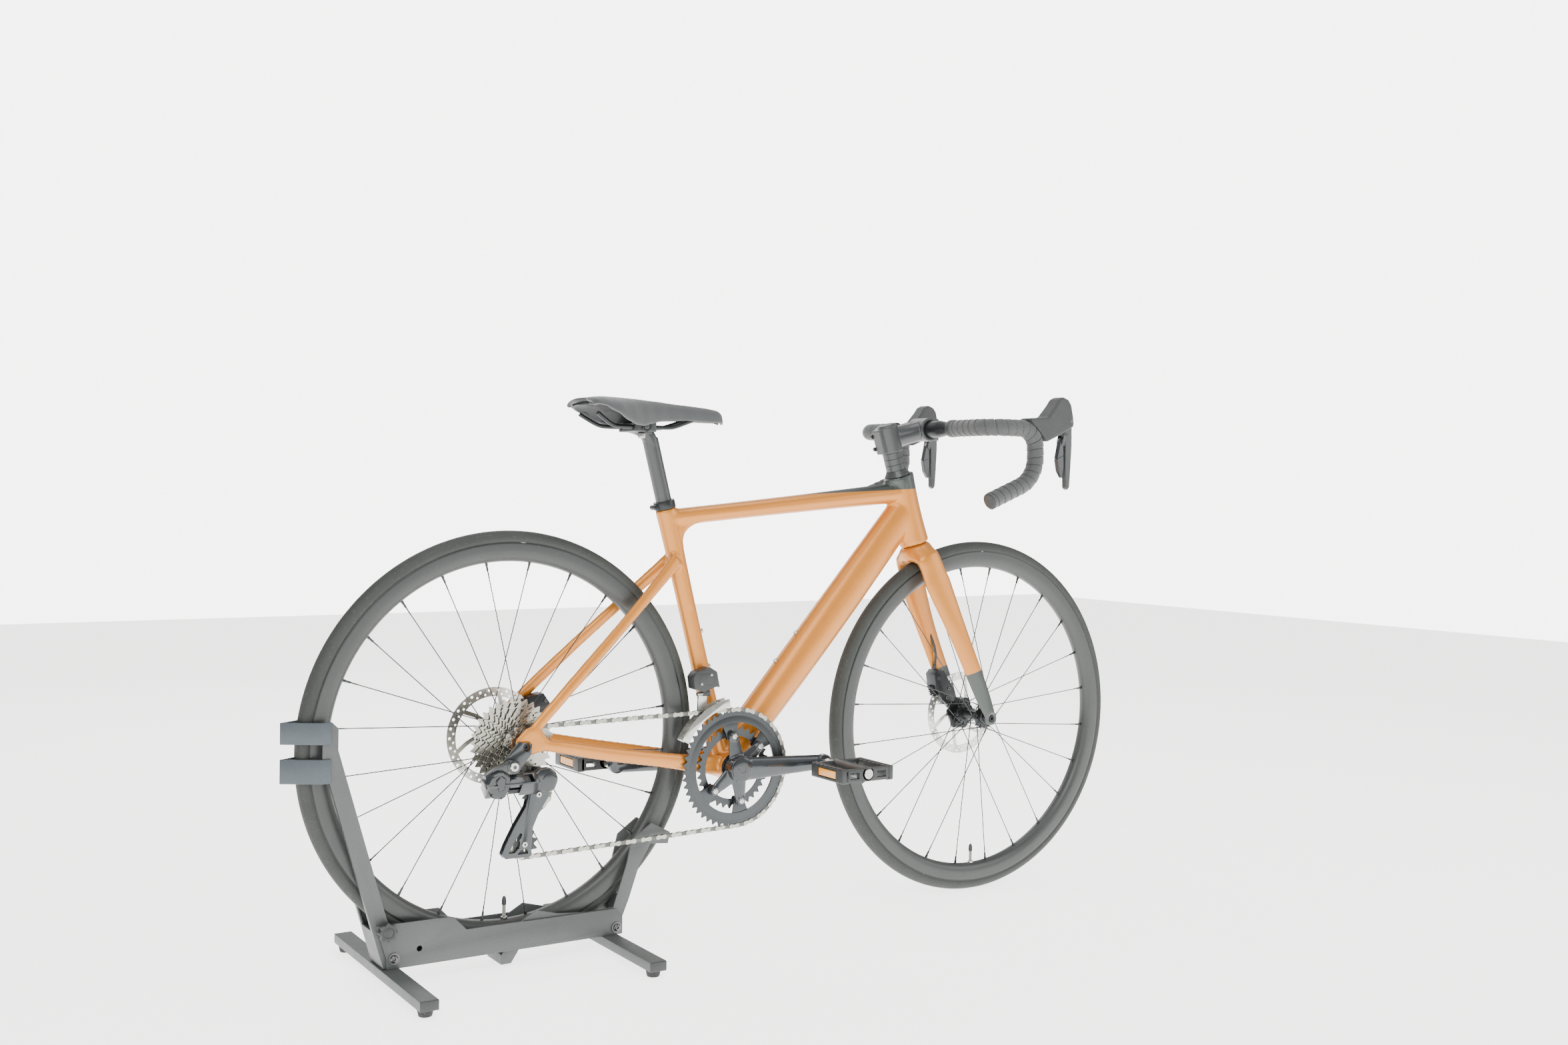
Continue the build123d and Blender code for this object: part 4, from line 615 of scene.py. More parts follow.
def makeValve(end, centre):
    # Silver stem with its thread, a lock nut against the rim, and a black cap.
    foot = centre + Vector((0, 0, -1)) * rimInner
    up = Vector((0, 0, 1))
    thread = [(0, -4)]
    for i in range(34):
        thread += [(2.9, -4 + i * 0.8), (2.55, -3.6 + i * 0.8)]
    thread += [(2.6, 25), (0, 25)]
    stem = turned(thread, foot, axis=up, steps=20)
    nut = turned([(2.5, -0.4), (5.4, -0.4), (5.6, 0.6), (5.2, 2.8), (3.4, 3.6), (2.5, 3.6)], foot, axis=up,
                 steps=24)
    put(joined([stem, nut]), f"{end}ValveStem", f"{end}_wheel", look["steel"])
    capShape = [(0, 22), (3.5, 22), (3.75, 22.6)]
    for i in range(8):
        capShape += [(3.8, 23 + i), (3.5, 23.4 + i), (3.5, 23.6 + i)]
    capShape += [(3.4, 31.6), (2.6, 33.6), (1.9, 35.6), (0, 36)]
    cap = turned(capShape, foot, axis=up, steps=24)
    put(cap, f"{end}ValveCap", f"{end}_wheel", look["moulding"])


def makeSpokes(end, centre):
    # Butted spokes in crossing pairs, each with its squared nipple and its round head at the flange.
    made = []
    for i in range(wheel["spokes"]):
        flange = wheel["flanges"][end][i % 2]
        rimTurn = 2 * pi * (i + 0.5) / wheel["spokes"]
        leading = 1 if (i // 2) % 2 else -1
        hubTurn = rimTurn + radians(56) * leading
        hubEnd = centre + Vector((sin(hubTurn), 0, -cos(hubTurn))) * (wheel["flangeRadius"] + 1)
        hubEnd.y += flange + 1.3 * leading
        rimEnd = centre + Vector((sin(rimTurn), 0, -cos(rimTurn))) * (rimInner + 1.5)
        along = (rimEnd - hubEnd).normalized()
        stations = [(0, 1.15), (14, 1.15), (22, 0.85), ((rimEnd - hubEnd).length - 30, 0.85),
                    ((rimEnd - hubEnd).length - 22, 1.1), ((rimEnd - hubEnd).length - 13, 1.1)]
        wire = turned([(r, d) for d, r in stations] + [(0, stations[-1][0]), (0, 0)], hubEnd, axis=along,
                      steps=8)
        nippleFoot = rimEnd - along * 14.5
        nipple = turned([(1.0, 0), (1.75, 0.6), (1.75, 8), (2.3, 9), (2.3, 14), (1.0, 14)], nippleFoot,
                        axis=along,
                        steps=8)
        elbowEnd = hubEnd - Vector((0, 1.3 * leading, 0)) * 3.4
        elbow = rod(hubEnd - along * 0.6, elbowEnd, 1.15, sides=8, edge=0)
        head = turned([(0, -0.7), (1.7, -0.6), (2.0, 0.2), (1.2, 0.8), (0, 0.8)], elbowEnd,
                      axis=(elbowEnd - hubEnd), steps=8)
        made += [wire, nipple, elbow, head]
    put(joined(made), f"{end}SpokeSet", f"{end}_wheel", look["spokeBlack"], [f"{end}_spokes"])


def makeHub(end, centre):
    left, right = wheel["flanges"][end][1], wheel["flanges"][end][0]
    span, ring = wheel["hubHalf"][end], wheel["flangeRadius"]
    shape = [(6.05, -span), (9.2, -span), (9.5, -span + 0.4)]
    if end == "front":
        shape += [(9.5, right - 8), (11, right - 7.4), (13.5, right - 4)]
    else:
        shape += [(9.5, right - 3.4), (13.5, right - 3.4)]
    for flange, before, after in ((right, 13.5, 12.2), (left, 12.2, 16.2)):
        shape += [(before, flange - 3.2), (ring - 1.4, flange - 2.4), (ring, flange - 1.6),
                  (ring, flange + 1.6),
                  (ring - 1.4, flange + 2.4), (after, flange + 3.2)]
        if flange == right:
            shape += [(10.8, flange + 8), (10.4, (left + right) / 2), (10.8, left - 8)]
    disc = wheel["disc"][end]
    shape += [(16.2, disc - 1.4), (16.5, disc - 1.2), (16.5, disc + 3.6), (15.2, disc + 4.5),
              (9.5, disc + 4.5),
              (9.5, span - 0.4), (9.2, span), (6.05, span)]
    shell = turned(shape, centre, steps=72)
    holes = []
    for i in range(wheel["spokes"]):
        turn = 2 * pi * i / wheel["spokes"]
        flange = wheel["flanges"][end][i % 2]
        spot = centre + Vector((sin(turn), 0, -cos(turn))) * (ring - 3.4)
        holes.append(rod(spot + across * (flange - 4), spot + across * (flange + 4), 1.25, sides=12, edge=0))
    cut(shell, *holes)
    put(shell, f"{end}HubShell", f"{end}_wheel",
        turnedSteel(f"{end}HubBlack", centre, (0.03, 0.033, 0.034), 0.3, 1800.0, 0.7), [f"{end}_hub"])


def makeDisc(end, centre):
    # The drilled band and arms are the designed ones, eased; the carrier and its lock ring are new.
    face = wheel["disc"][end]
    band = eased(f"{end}_rotor", 0.18, 1)
    put(band, f"{end}DiscBand", f"{end}_wheel", turnedSteel(f"{end}DiscSteel", centre),
        [f"{end}_rotor"])
    reach = []
    for i in range(72):
        turn = radians(i * 5)
        bulge = 30.5 + 3.2 * cos(6 * turn + 0.6)
        reach.append((centre.x + bulge * cos(turn), centre.z + bulge * sin(turn)))
    carrier = plated(reach, face - 1.7, face + 1.7, 0.5)
    hole = rod(centre + across * (face - 5), centre + across * (face + 5), 16.8, sides=48, edge=0)
    cut(carrier, hole)
    rivets = []
    for i in range(6):
        turn = radians(i * 60 + 4)
        spot = centre + Vector((cos(turn), 0, sin(turn))) * 29
        rivets.append(turned([(0, -2.6), (2.4, -2.5), (2.8, -1.9), (2.8, 1.9), (2.4, 2.5), (0, 2.6)],
                             spot + across * face, steps=16))
    put(joined([carrier] + rivets), f"{end}DiscCarrier", f"{end}_wheel", look["blackAlloy"])
    teeth = []
    for i in range(96):
        size = 21.0 if i % 4 < 2 else 19.6
        turn = 2 * pi * i / 96
        teeth.append((centre.x + size * cos(turn), centre.z + size * sin(turn)))
    lockRing = plated(teeth, face + 1.8, face + 4.2, 0.3, 1)
    bore = rod(centre + across * face, centre + across * (face + 8), 13.5, sides=48, edge=0)
    cut(lockRing, bore)
    put(lockRing, f"{end}DiscLockRing", f"{end}_wheel", look["darkSteel"])


for end, centre in (("rear", rearAxle), ("front", frontAxle)):
    centre = Vector((centre.x, 0, centre.z))
    makeTyre(end, centre)
    makeRim(end, centre)
    makeValve(end, centre)
    makeSpokes(end, centre)
    makeHub(end, centre)
    makeDisc(end, centre)
print("wheels built")

# Frame and fork: the designed tubes, melted together at their joins as laid carbon is
steeringFoot = frontAxle - steerAhead * 45
steeringFoot.y = 0


def steerPoint(up, ahead, y=0.0):
    return steeringFoot + steerWay * up + steerAhead * ahead + across * y


seatTube = {"top": 463.0, "bore": 290.0, "radius": 13.7, "tilt": radians(75.2)}


def seatPoint(up, ahead=0.0):
    lean = seatTube["tilt"]
    return Vector((crankAxle.x - up * cos(lean) + ahead * sin(lean), 0,
                   crankAxle.z + up * sin(lean) + ahead * cos(lean)))


def makeFrame():
    # The post's bore is filled while the tubes are melted together, and opened again afterwards.
    body = nodeCopy("frame", flat=0)
    boreTop = seatPoint(seatTube["top"] + 6)
    boreLow = seatPoint(seatTube["bore"] - 4)
    filler = rod(boreLow, seatPoint(seatTube["top"]), seatTube["radius"] + 0.8, sides=40, edge=0)
    body = joined([body, filler])
    modify(body, "REMESH", mode="VOXEL", voxel_size=2.4 * mm)
    modify(body, "SMOOTH", factor=0.5, iterations=14)
    cut(body, rod(seatPoint(seatTube["bore"]), boreTop, seatTube["radius"], sides=48, edge=0))
    paint = twoTonePaint("framePaint", (122, 0, 767), (-0.057, 0, 0.998), 1.2)
    put(body, "carbonFrame", "bike", paint, ["frame"], smooth=180)
    collar = eased("seat_collar", 0.8)
    put(collar, "seatCollar", "bike", look["blackAlloy"], ["seat_collar"])
    bolts = eased("bottle_bolts", 0.9, 3)
    put(bolts, "bottleBolts", "bike", look["steel"], ["bottle_bolts"])
    cups = eased("frame_bearings", 0.35)
    put(cups, "bearingCups", "bike", look["blackAlloy"], ["frame_bearings"])


def makeFork():
    body = moulded("fork", 1.9, 12)
    # The crown flows from the head tube into the blades, so it is eased much further than the rest.
    crown = body.vertex_groups.new(name="crown")
    for vertex in body.data.vertices:
        up = (vertex.co / mm - steeringFoot).dot(steerWay)
        if 290 < up < 374:
            crown.add([vertex.index], min((up - 290) / 24, (374 - up) / 5, 1.0), "REPLACE")
    modify(body, "SMOOTH", factor=0.5, iterations=190, vertex_group="crown")
    split = steerPoint(100, 26)
    paint = twoTonePaint("forkPaint", split, (0.25, 0, -0.97), 1.2)
    put(body, "carbonFork", "fork", paint, ["fork"], smooth=180)


def axlePiece(cadNode, name, body, centre, outer, headRadius):
    # Through axle with a turned head and a hex socket.
    shape = [(0, -outer), (5.4, -outer), (6, -outer + 0.8), (6, outer), (headRadius, outer + 0.2),
             (headRadius + 0.4, outer + 1), (headRadius - 0.4, outer + 3.2), (3.4, outer + 3.5),
             (0, outer + 3.5)]
    axle = turned(shape, centre, steps=40)
    for tip in (outer + 3.5, -outer):
        socket = rod(centre + across * (tip - 3), centre + across * (tip + 3), 3.4, sides=6, edge=0)
        cut(axle, socket)
    put(axle, name, body, look["blackAlloy"], [cadNode])


makeFrame()
makeFork()
axlePiece("rear_axle", "rearAxleBolt", "bike", Vector((rearAxle.x, 0, rearAxle.z)), 78, 8.4)
axlePiece("front_axle", "frontAxleBolt", "fork", Vector((frontAxle.x, 0, frontAxle.z)), 57, 8.0)
print("frame and fork built")


# Stand
knobAt = pivot["knob_turn"]


def makeStand():
    edges = {"stand_rails": 0.7, "stand_crossbars": 1.2, "rear_arm": 0.7, "stand_end_caps": 1.4,
             "stand_feet": 1.5}
    coats = {"stand_end_caps": ("black_plastic", "moulding"), "stand_feet": ("rubber", "footRubber")}
    names = {"stand_rails": "standRails", "stand_crossbars": "standCrossbars", "rear_arm": "wheelArm",
             "stand_end_caps": "tubePlugs", "stand_feet": "rubberFeet"}
    for cadNode, width in edges.items():
        slot, coat = coats.get(cadNode, ("stand_paint", "standPaint"))
        put(eased(cadNode, width, 3), names[cadNode], "stand", look[coat], [cadNode])
    put(eased("arm_hooks", 0.8, 3), "wheelHooks", "stand", look["hookPaintAndSheen"], ["arm_hooks"])
    put(eased("front_rocker", 0.7, 3), "wheelRocker", "rocker", look["standPaint"],
        ["front_rocker"])


def makePivotBolts():
    # Button-head bolts with washers on the right, lock nuts on the left.
    made = []
    half = 33.0
    for centre in (Vector((rearAxle.x - 194, 0, 43)), pivot["rocker_tilt"]):
        centre = Vector((centre.x, 0, centre.z))
        shape = [(0, -half - 5), (3.6, -half - 4.9), (5.4, -half - 4), (6.4, -half - 2.4), (6.4, -half - 1.5),
                 (9, -half - 1.5), (9, -half - 0.1), (3.9, -half - 0.1), (3.9, half + 0.1), (9, half + 0.1),
                 (9, half + 1.5), (4.2, half + 1.5), (3.9, half + 8), (0, half + 8)]
        bolt = turned(shape, centre, steps=40)
        cut(bolt, rod(centre - across * (half + 8), centre - across * (half + 2.6), 2.3, sides=6, edge=0))
        nut = rod(centre + across * (half + 1.5), centre + across * (half + 7), 6.5, sides=6, edge=0.5)
        made += [bolt, nut]
    put(joined(made), "pivotBolts", "stand", look["darkSteel"], ["stand_bolts"])


def makeKnob():
    # Eight-lobed grip with a flat disc let into its face, on a threaded stud.
    outline = []
    for i in range(96):
        turn = 2 * pi * i / 96
        size = 13.6 + 1.5 * cos(8 * turn)
        outline.append((knobAt.x + size * cos(turn), knobAt.z + size * sin(turn)))
    grip = plated(outline, -36, -47, 1.3, 4)
    centre = Vector((knobAt.x, 0, knobAt.z))
    cut(grip, rod(centre - across * 46.2, centre - across * 49, 8.6, sides=40, edge=0))
    disc = turned([(0, -46.9), (7.6, -46.9), (8.2, -46.5), (8.2, -45.6), (0, -45.6)], centre, steps=40)
    neck = turned([(0, -33.3), (8.4, -33.3), (8.4, -34), (7.4, -36.4), (0, -36.4)], centre, steps=32)
    stud = rod(centre - across * 36, centre - across * 24.2, 3.9, sides=20)
    put(joined([grip, disc, neck, stud]), "lockKnob", "knob", look["knobPlastic"],
        ["lock_knob"])


makeStand()
makePivotBolts()
makeKnob()
print("stand built")

# Drivetrain
drive = {"pitch": 12.7, "roller": 3.86, "sprockets": (11, 12, 13, 14, 16, 18, 20, 23, 26, 30, 34),
         "firstY": -64.0,
         "spacing": 3.75, "thickness": 1.7, "chainSprocket": 2, "rings": (50, 34), "ringY": -47.0,
         "pulley": 11,
         "spider": (38, 98, 218, 278), "links": 98}
chainY = drive["firstY"] + drive["chainSprocket"] * drive["spacing"]
guideAt = pivot["guide_pulley_spin"]
tensionAt = pivot["tension_pulley_spin"]


def pitchRadius(teeth):
    return drive["pitch"] / 2 / sin(pi / teeth)


def ringPlate(outer, inner, yFrom, yTo, edge=0.25):
    loops = []
    for points in (outer, inner):
        choose()
        bpy.ops.mesh.primitive_circle_add(vertices=len(points), radius=mm, fill_type="NOTHING")
        loop = bpy.context.object
        for vertex, (x, z) in zip(loop.data.vertices, points):
            vertex.co = Vector((x, yFrom, z)) * mm
        loops.append(loop)
    piece = joined(loops)
    openMesh(piece, "EDGE")
    bpy.ops.mesh.bridge_edge_loops()
    bpy.ops.mesh.select_all(action="SELECT")
    bpy.ops.mesh.extrude_region_move(TRANSFORM_OT_translate={"value": (0, (yTo - yFrom) * mm, 0)})
    closeMesh(piece)
    return rounded(piece, edge, 1) if edge else piece


def toothOutline(teeth, centre, phase, tip=3.0):
    # Roller seats between the teeth, with narrow crests; phase puts a seat under a chain pin.
    radius = pitchRadius(teeth)
    seat = drive["roller"]
    steps = ((0.0, -seat), (0.12, -seat * 0.86), (0.24, -seat * 0.35), (0.36, seat * 0.3), (0.45, tip),
             (0.55, tip), (0.64, seat * 0.3), (0.76, -seat * 0.35), (0.88, -seat * 0.86))
    outline = []
    for i in range(teeth):
        for share, out in steps:
            turn = phase + 2 * pi * (i + share) / teeth
            outline.append((centre.x + (radius + out) * cos(turn), centre.z + (radius + out) * sin(turn)))
    return outline


def toothed(teeth, centre, y, thickness, bore, phase, tip=3.0):
    outline = toothOutline(teeth, centre, phase, tip)
    count = len(outline)
    inner = [(centre.x + bore * cos(phase + 2 * pi * i / count),
              centre.z + bore * sin(phase + 2 * pi * i / count))
             for i in range(count)]
    return ringPlate(outline, inner, y + thickness / 2, y - thickness / 2)


# The chain's line: wheel by wheel, with the sign of the radius for the way that it wraps.
chainWheels = [(rearAxle, pitchRadius(drive["sprockets"][drive["chainSprocket"]]), chainY),
               (crankAxle, pitchRadius(drive["rings"][0]), drive["ringY"]),
               (tensionAt, pitchRadius(drive["pulley"]), chainY),
               (guideAt, -pitchRadius(drive["pulley"]), chainY)]


def tangentPoints(first, second):
    (a, r1, _), (b, r2, _) = first, second
    turn = atan2(b.z - a.z, b.x - a.x) + acos((r1 - r2) / hypot(b.x - a.x, b.z - a.z))
    return (a.x + r1 * cos(turn), a.z + r1 * sin(turn)), (b.x + r2 * cos(turn), b.z + r2 * sin(turn))


def chainRuns():
    runs = []
    for i, current in enumerate(chainWheels):
        before, after = chainWheels[i - 1], chainWheels[(i + 1) % 4]
        arrive = tangentPoints(before, current)[1]
        leave, landing = tangentPoints(current, after)
        centre, radius, y = current
        start = atan2(arrive[1] - centre.z, arrive[0] - centre.x)
        stop = atan2(leave[1] - centre.z, leave[0] - centre.x)
        swept = (start - stop) % (2 * pi) if radius > 0 else (stop - start) % (2 * pi)
        runs.append(("arc", swept * abs(radius), current, start))
        span = (Vector((leave[0], y, leave[1])), Vector((landing[0], after[2], landing[1])))
        runs.append(("line", (span[1] - span[0]).length, *span))
    return runs


runs = chainRuns()
chainLength = sum(run[1] for run in runs)


def onChain(distance):
    distance = distance % chainLength
    for kind, length, first, second in runs:
        if distance > length:
            distance -= length
            continue
        if kind == "line":
            return first.lerp(second, distance / length)
        centre, radius, y = first
        turn = second - distance / radius
        return Vector((centre.x + abs(radius) * cos(turn), y, centre.z + abs(radius) * sin(turn)))
    return onChain(0)


pins = [onChain(i * chainLength / drive["links"]) for i in range(drive["links"])]


def seatPhase(centre, radius):
    # Angle of a chain pin that lies on this wheel.
    lying = [p for p in pins if abs(hypot(p.x - centre.x, p.z - centre.z) - abs(radius)) < 0.4]
    middle = lying[len(lying) // 2]
    return atan2(middle.z - centre.z, middle.x - centre.x)


def linkPlate(y, thickness, waist):
    # Figure-of-eight side plate, lying along X about the origin.
    half = drive["pitch"] / 2
    outline = arcPoints((half, 0), 3.9, -115, 115, 9) + [(0, waist)] + arcPoints((-half, 0), 3.9, 65, 295, 9)
    outline += [(0, -waist)]
    return plated(outline, y - thickness / 2, y + thickness / 2, 0)


def makeChain():
    outerLink = [linkPlate(side * 2.35, 0.8, 2.5) for side in (-1, 1)]
    innerLink = [linkPlate(side * 1.4, 0.8, 2.9) for side in (-1, 1)]
    for end in (-6.35, 6.35):
        pinShape = [(0, -2.95), (1.5, -2.9), (1.8, -2.6), (1.8, 2.6), (1.5, 2.9), (0, 2.95)]
        outerLink.append(turned(pinShape, (end, 0, 0), steps=10))
        innerLink.append(turned([(1.9, -1.0), (3.86, -1.0), (3.86, 1.0), (1.9, 1.0)], (end, 0, 0), steps=12))
    templates = (joined(outerLink), joined(innerLink))
    made = []
    for i, pin in enumerate(pins):
        after = pins[(i + 1) % drive["links"]]
        along = (after - pin).normalized()
        up = along.cross(across).normalized()
        sideways = up.cross(along)
        place = Matrix((along, sideways, up)).transposed().to_4x4()
        place.translation = (pin + after) / 2 * mm
        made.append(duplicate(templates[i % 2], place))
    for template in templates:
        bpy.data.objects.remove(template)
    put(joined(made[::2]), "driveChain", "bike", look["chainSteel"], ["chain"], smooth=30)
    put(joined(made[1::2]), "chainRollerLinks", "bike", look["rollerSteel"], smooth=30)


def makeCassette():
    made = []
    centre = Vector((rearAxle.x, 0, rearAxle.z))
    for i, teeth in enumerate(drive["sprockets"]):
        y = drive["firstY"] + i * drive["spacing"]
        phase = seatPhase(centre, pitchRadius(teeth)) if i == drive["chainSprocket"] else 0.17 * i
        sprocket = toothed(teeth, centre, y, drive["thickness"], 15.9, phase)
        if teeth > 22:
            # Lightening holes just inside the teeth of the large sprockets.
            holes = []
            count = teeth // 2
            for j in range(count):
                turn = phase + 2 * pi * (j + 0.5) / count
                spot = centre + Vector((cos(turn), 0, sin(turn))) * (pitchRadius(teeth) - 7.6)
                holes.append(rod(spot + across * (y - 3), spot + across * (y + 3), 2.0, sides=12, edge=0))
            cut(sprocket, *holes)
        made.append(sprocket)
    spacers = []
    for i in range(len(drive["sprockets"]) - 1):
        y = drive["firstY"] + (i + 0.5) * drive["spacing"]
        spacers.append(turned([(16, y - 0.95), (18.6, y - 0.95), (18.6, y + 0.95), (16, y + 0.95)], centre,
                              steps=40))
    put(joined(made + spacers), "cassetteSprockets", "cassette",
        turnedSteel("sprocketSteel", centre, (0.4, 0.39, 0.34), 0.28), ["cassette"], smooth=30)
    teeth = []
    for i in range(96):
        size = 14.6 if i % 8 < 4 else 13.2
        teeth.append((centre.x + size * cos(2 * pi * i / 96), centre.z + size * sin(2 * pi * i / 96)))
    lockRing = plated(teeth, -65.1, -67.2, 0.3, 1)
    cut(lockRing, rod(centre - across * 60, centre - across * 70, 10.6, sides=40, edge=0))
    sleeve = turned([(9.7, -66), (15.4, -66), (15.8, -65), (15.8, -24), (9.7, -24)], centre, steps=40)
    put(joined([lockRing, sleeve]), "cassetteLockRing", "cassette", look["darkSteel"])


def makeChainrings():
    centre = Vector((crankAxle.x, 0, crankAxle.z))
    phase = seatPhase(centre, pitchRadius(drive["rings"][0]))
    outerRing = toothed(drive["rings"][0], centre, drive["ringY"], 2.2, 84, phase)
    step = turned([(78.5, drive["ringY"] - 2.2), (86, drive["ringY"] - 2.0), (92, drive["ringY"] - 0.8),
                   (92, drive["ringY"] + 1.0), (78.5, drive["ringY"] + 1.1)], centre, steps=120)
    innerRing = toothed(drive["rings"][1], centre, drive["ringY"] + 7.2, 2.0, 55, 0.1)
    tabs = []
    for turn in drive["spider"]:
        way = Vector((cos(radians(turn)), 0, sin(radians(turn))))
        sideways = way.cross(across)
        for reachIn, reachOut, wideIn, wideOut, y in ((50, 82, 7.5, 17, drive["ringY"]),
                                                      (50, 60, 8, 12, drive["ringY"] + 7.2)):
            outline = []
            for reach, wide in ((reachIn, wideIn), (reachIn, -wideIn), (reachOut, -wideOut),
                                (reachOut, wideOut)):
                spot = centre + way * reach + sideways * wide
                outline.append((spot.x, spot.z))
            tabs.append(plated(outline, y - 1.1, y + 1.1, 0.4))
        post = centre + way * 57
        tabs.append(turned([(0, -0.2), (6.2, -0.2), (6.2, 6.2), (0, 6.2)], post + across * drive["ringY"],
                           steps=24))
    put(joined([outerRing, step, innerRing] + tabs), "chainringPair", "crank",
        turnedSteel("ringGrey", centre, (0.06, 0.065, 0.068), 0.3, 1400.0, 0.8), ["chainrings"], smooth=30)
    bolts = []
    for turn in drive["spider"]:
        post = centre + Vector((cos(radians(turn)), 0, sin(radians(turn)))) * 57
        y = -59.2
        bolt = turned([(0, y - 0.6), (4.0, y - 0.6), (4.8, y), (4.8, y + 1.2), (0, y + 1.2)], post, steps=24)
        cut(bolt, rod(post + across * (y - 2), post + across * (y + 0.4), 2.2, sides=6, edge=0))
        bolts.append(bolt)
    put(joined(bolts), "chainringBolts", "crank", look["steel"])


def makeCranks():
    centre = Vector((crankAxle.x, 0, crankAxle.z))
    rightArm = moulded("right_crank", 1.25, 7)
    put(rightArm, "rightCrankArm", "crank", look["crankGrey"], ["right_crank"], smooth=180)
    leftArm = moulded("left_crank", 1.25, 7)
    put(leftArm, "leftCrankArm", "crank", look["crankGrey"], ["left_crank"], smooth=180)
    cover = turned([(0, -74.6), (9, -74.6), (16, -74.2), (19.4, -73.4), (20, -71.5), (0, -71.5)], centre,
                   steps=48)
    ridge = turned([(5.5, -75.2), (8.6, -75.2), (9.4, -74.4), (5.0, -74.4)], centre, steps=48)
    put(joined([cover, ridge]), "crankCover", "crank", look["glossBlack"])
    preload = turned([(0, 74.8), (7.2, 74.8), (8.4, 74), (8.8, 71.8), (0, 71.8)], centre, steps=40)
    cut(preload, rod(centre + across * 73.4, centre + across * 77, 4.6, sides=8, edge=0))
    clampBolts = []
    for x in (-17, -29):
        spot = centre + Vector((x, 66, 0))
        clampBolts.append(rod(spot + Vector((0, 0, -21)), spot + Vector((0, 0, 20.6)), 3.3, sides=20))
    put(joined([preload] + clampBolts), "crankPreload", "crank", look["darkSteel"])


def makePedal(name, hand):
    # Moulded cage with slotted treads, end windows, reflectors in its front and back, and a bearing cap.
    px, pz = pivot[f"{name}_pedal_spin"].x, pivot[f"{name}_pedal_spin"].z
    near, far = hand * 110.0, hand * 206.0
    centreY = (near + far) / 2
    parts = []
    for reach in (-1, 1):
        x = px + reach * 46.5
        tread = block((x, centreY, pz - 2), (14, 96, 25), 2.4, 3)
        cutters = [block((x + reach * 5, centreY, pz - 2), (7, 54, 15.5), edge=0)]
        for i in range(7):
            for level in (-1, 1):
                cutters.append(block((x, centreY + (i - 3) * 12.6, pz - 2 + level * 12.4), (16, 3.2, 2.2),
                                     edge=0))
        cut(tread, *cutters)
        parts.append(tread)
    for y, depth in ((near + hand * 4, 8), (far - hand * 4, 8)):
        plateOutline = [(px - 47, pz - 11), (px - 42, pz - 13), (px + 42, pz - 13), (px + 47, pz - 11),
                        (px + 47, pz + 7), (px + 42, pz + 9.6), (px - 42, pz + 9.6), (px - 47, pz + 7)]
        wall = plated(plateOutline, y + depth / 2, y - depth / 2, 1.2, 3)
        cutters = [block((px + side * 28, y, pz - 2), (19, depth + 4, 11), edge=0) for side in (-1, 1)]
        cut(wall, *cutters)
        parts.append(wall)
    low = min(near, far)
    sleeve = turned([(6.1, low), (11.5, low), (13, low + 2), (12.2, low + 30), (11.4, low + 48),
                     (12.2, low + 66),
                     (13, low + 94), (11.5, low + 96), (6.1, low + 96)], (px, 0, pz), steps=40)
    parts.append(sleeve)
    for i in range(2):
        parts.append(block((px, centreY + (i * 2 - 1) * 17, pz - 2), (84, 4, 9), 1.0))
    put(joined(parts), f"{name}PedalCage", f"{name}_pedal", look["moulding"],
        [f"{name}_pedal"])
    lenses = []
    for reach in (-1, 1):
        lens = block((px + reach * 51.4, centreY, pz - 2), (3.6, 51, 13), 1.0)
        grooves = [block((px + reach * 53.6, centreY + (i - 7) * 3.3, pz - 2), (1.2, 1.0, 11), edge=0)
                   for i in range(15)]
        cut(lens, *grooves)
        lenses.append(lens)
    put(joined(lenses), f"{name}PedalReflectors", f"{name}_pedal", look["orangeLens"])
    capFrom, capTo = far + hand * 0.3, far + hand * 3
    cap = turned([(0, capFrom), (8.6, capFrom), (8.9, (capFrom + capTo) / 2), (7.6, capTo), (0, capTo)],
                 (px, 0, pz),
                 steps=36)
    inner = hand * 77.1
    shaft = turned([(0, inner), (8.4, inner), (8.4, near - hand * 8), (6.6, near - hand * 7),
                    (5.95, near - hand * 2),
                    (5.95, far + hand * 1.5), (0, far + hand * 1.5)], (px, 0, pz), steps=36)
    flats = [block((px, near - hand * 14, pz + side * 8.2), (20, 7, 2.6), edge=0) for side in (-1, 1)]
    cut(shaft, *flats)
    put(joined([cap, shaft]), f"{name}PedalSpindle", "crank", look["steel"], [f"{name}_pedal_axle"])


makeChain()
makeCassette()
makeChainrings()
makeCranks()
makePedal("right", -1)
makePedal("left", 1)
print("drivetrain built")


# Gear changers and brakes
def fromRear(ahead, up, y=0.0):
    return Vector((rearAxle.x + ahead, y, rearAxle.z + up))


def rearOutline(*pairs):
    return [(rearAxle.x + ahead, rearAxle.z + up) for ahead, up in pairs]


def ringBolt(centre, y, radius, height, hand=-1):
    # Low round head with a hex socket, standing outwards from the plane at y.
    outer = y + hand * height
    shape = [(0, y), (radius, y), (radius, y + hand * height * 0.6), (radius * 0.86, outer), (0, outer)]
    head = turned(shape, (centre[0], 0, centre[1]), steps=32)
    spot = Vector((centre[0], outer, centre[1]))
    cut(head, rod(spot - across * 1.6, spot + across * 1.6, radius * 0.45, sides=6, edge=0))
    return head


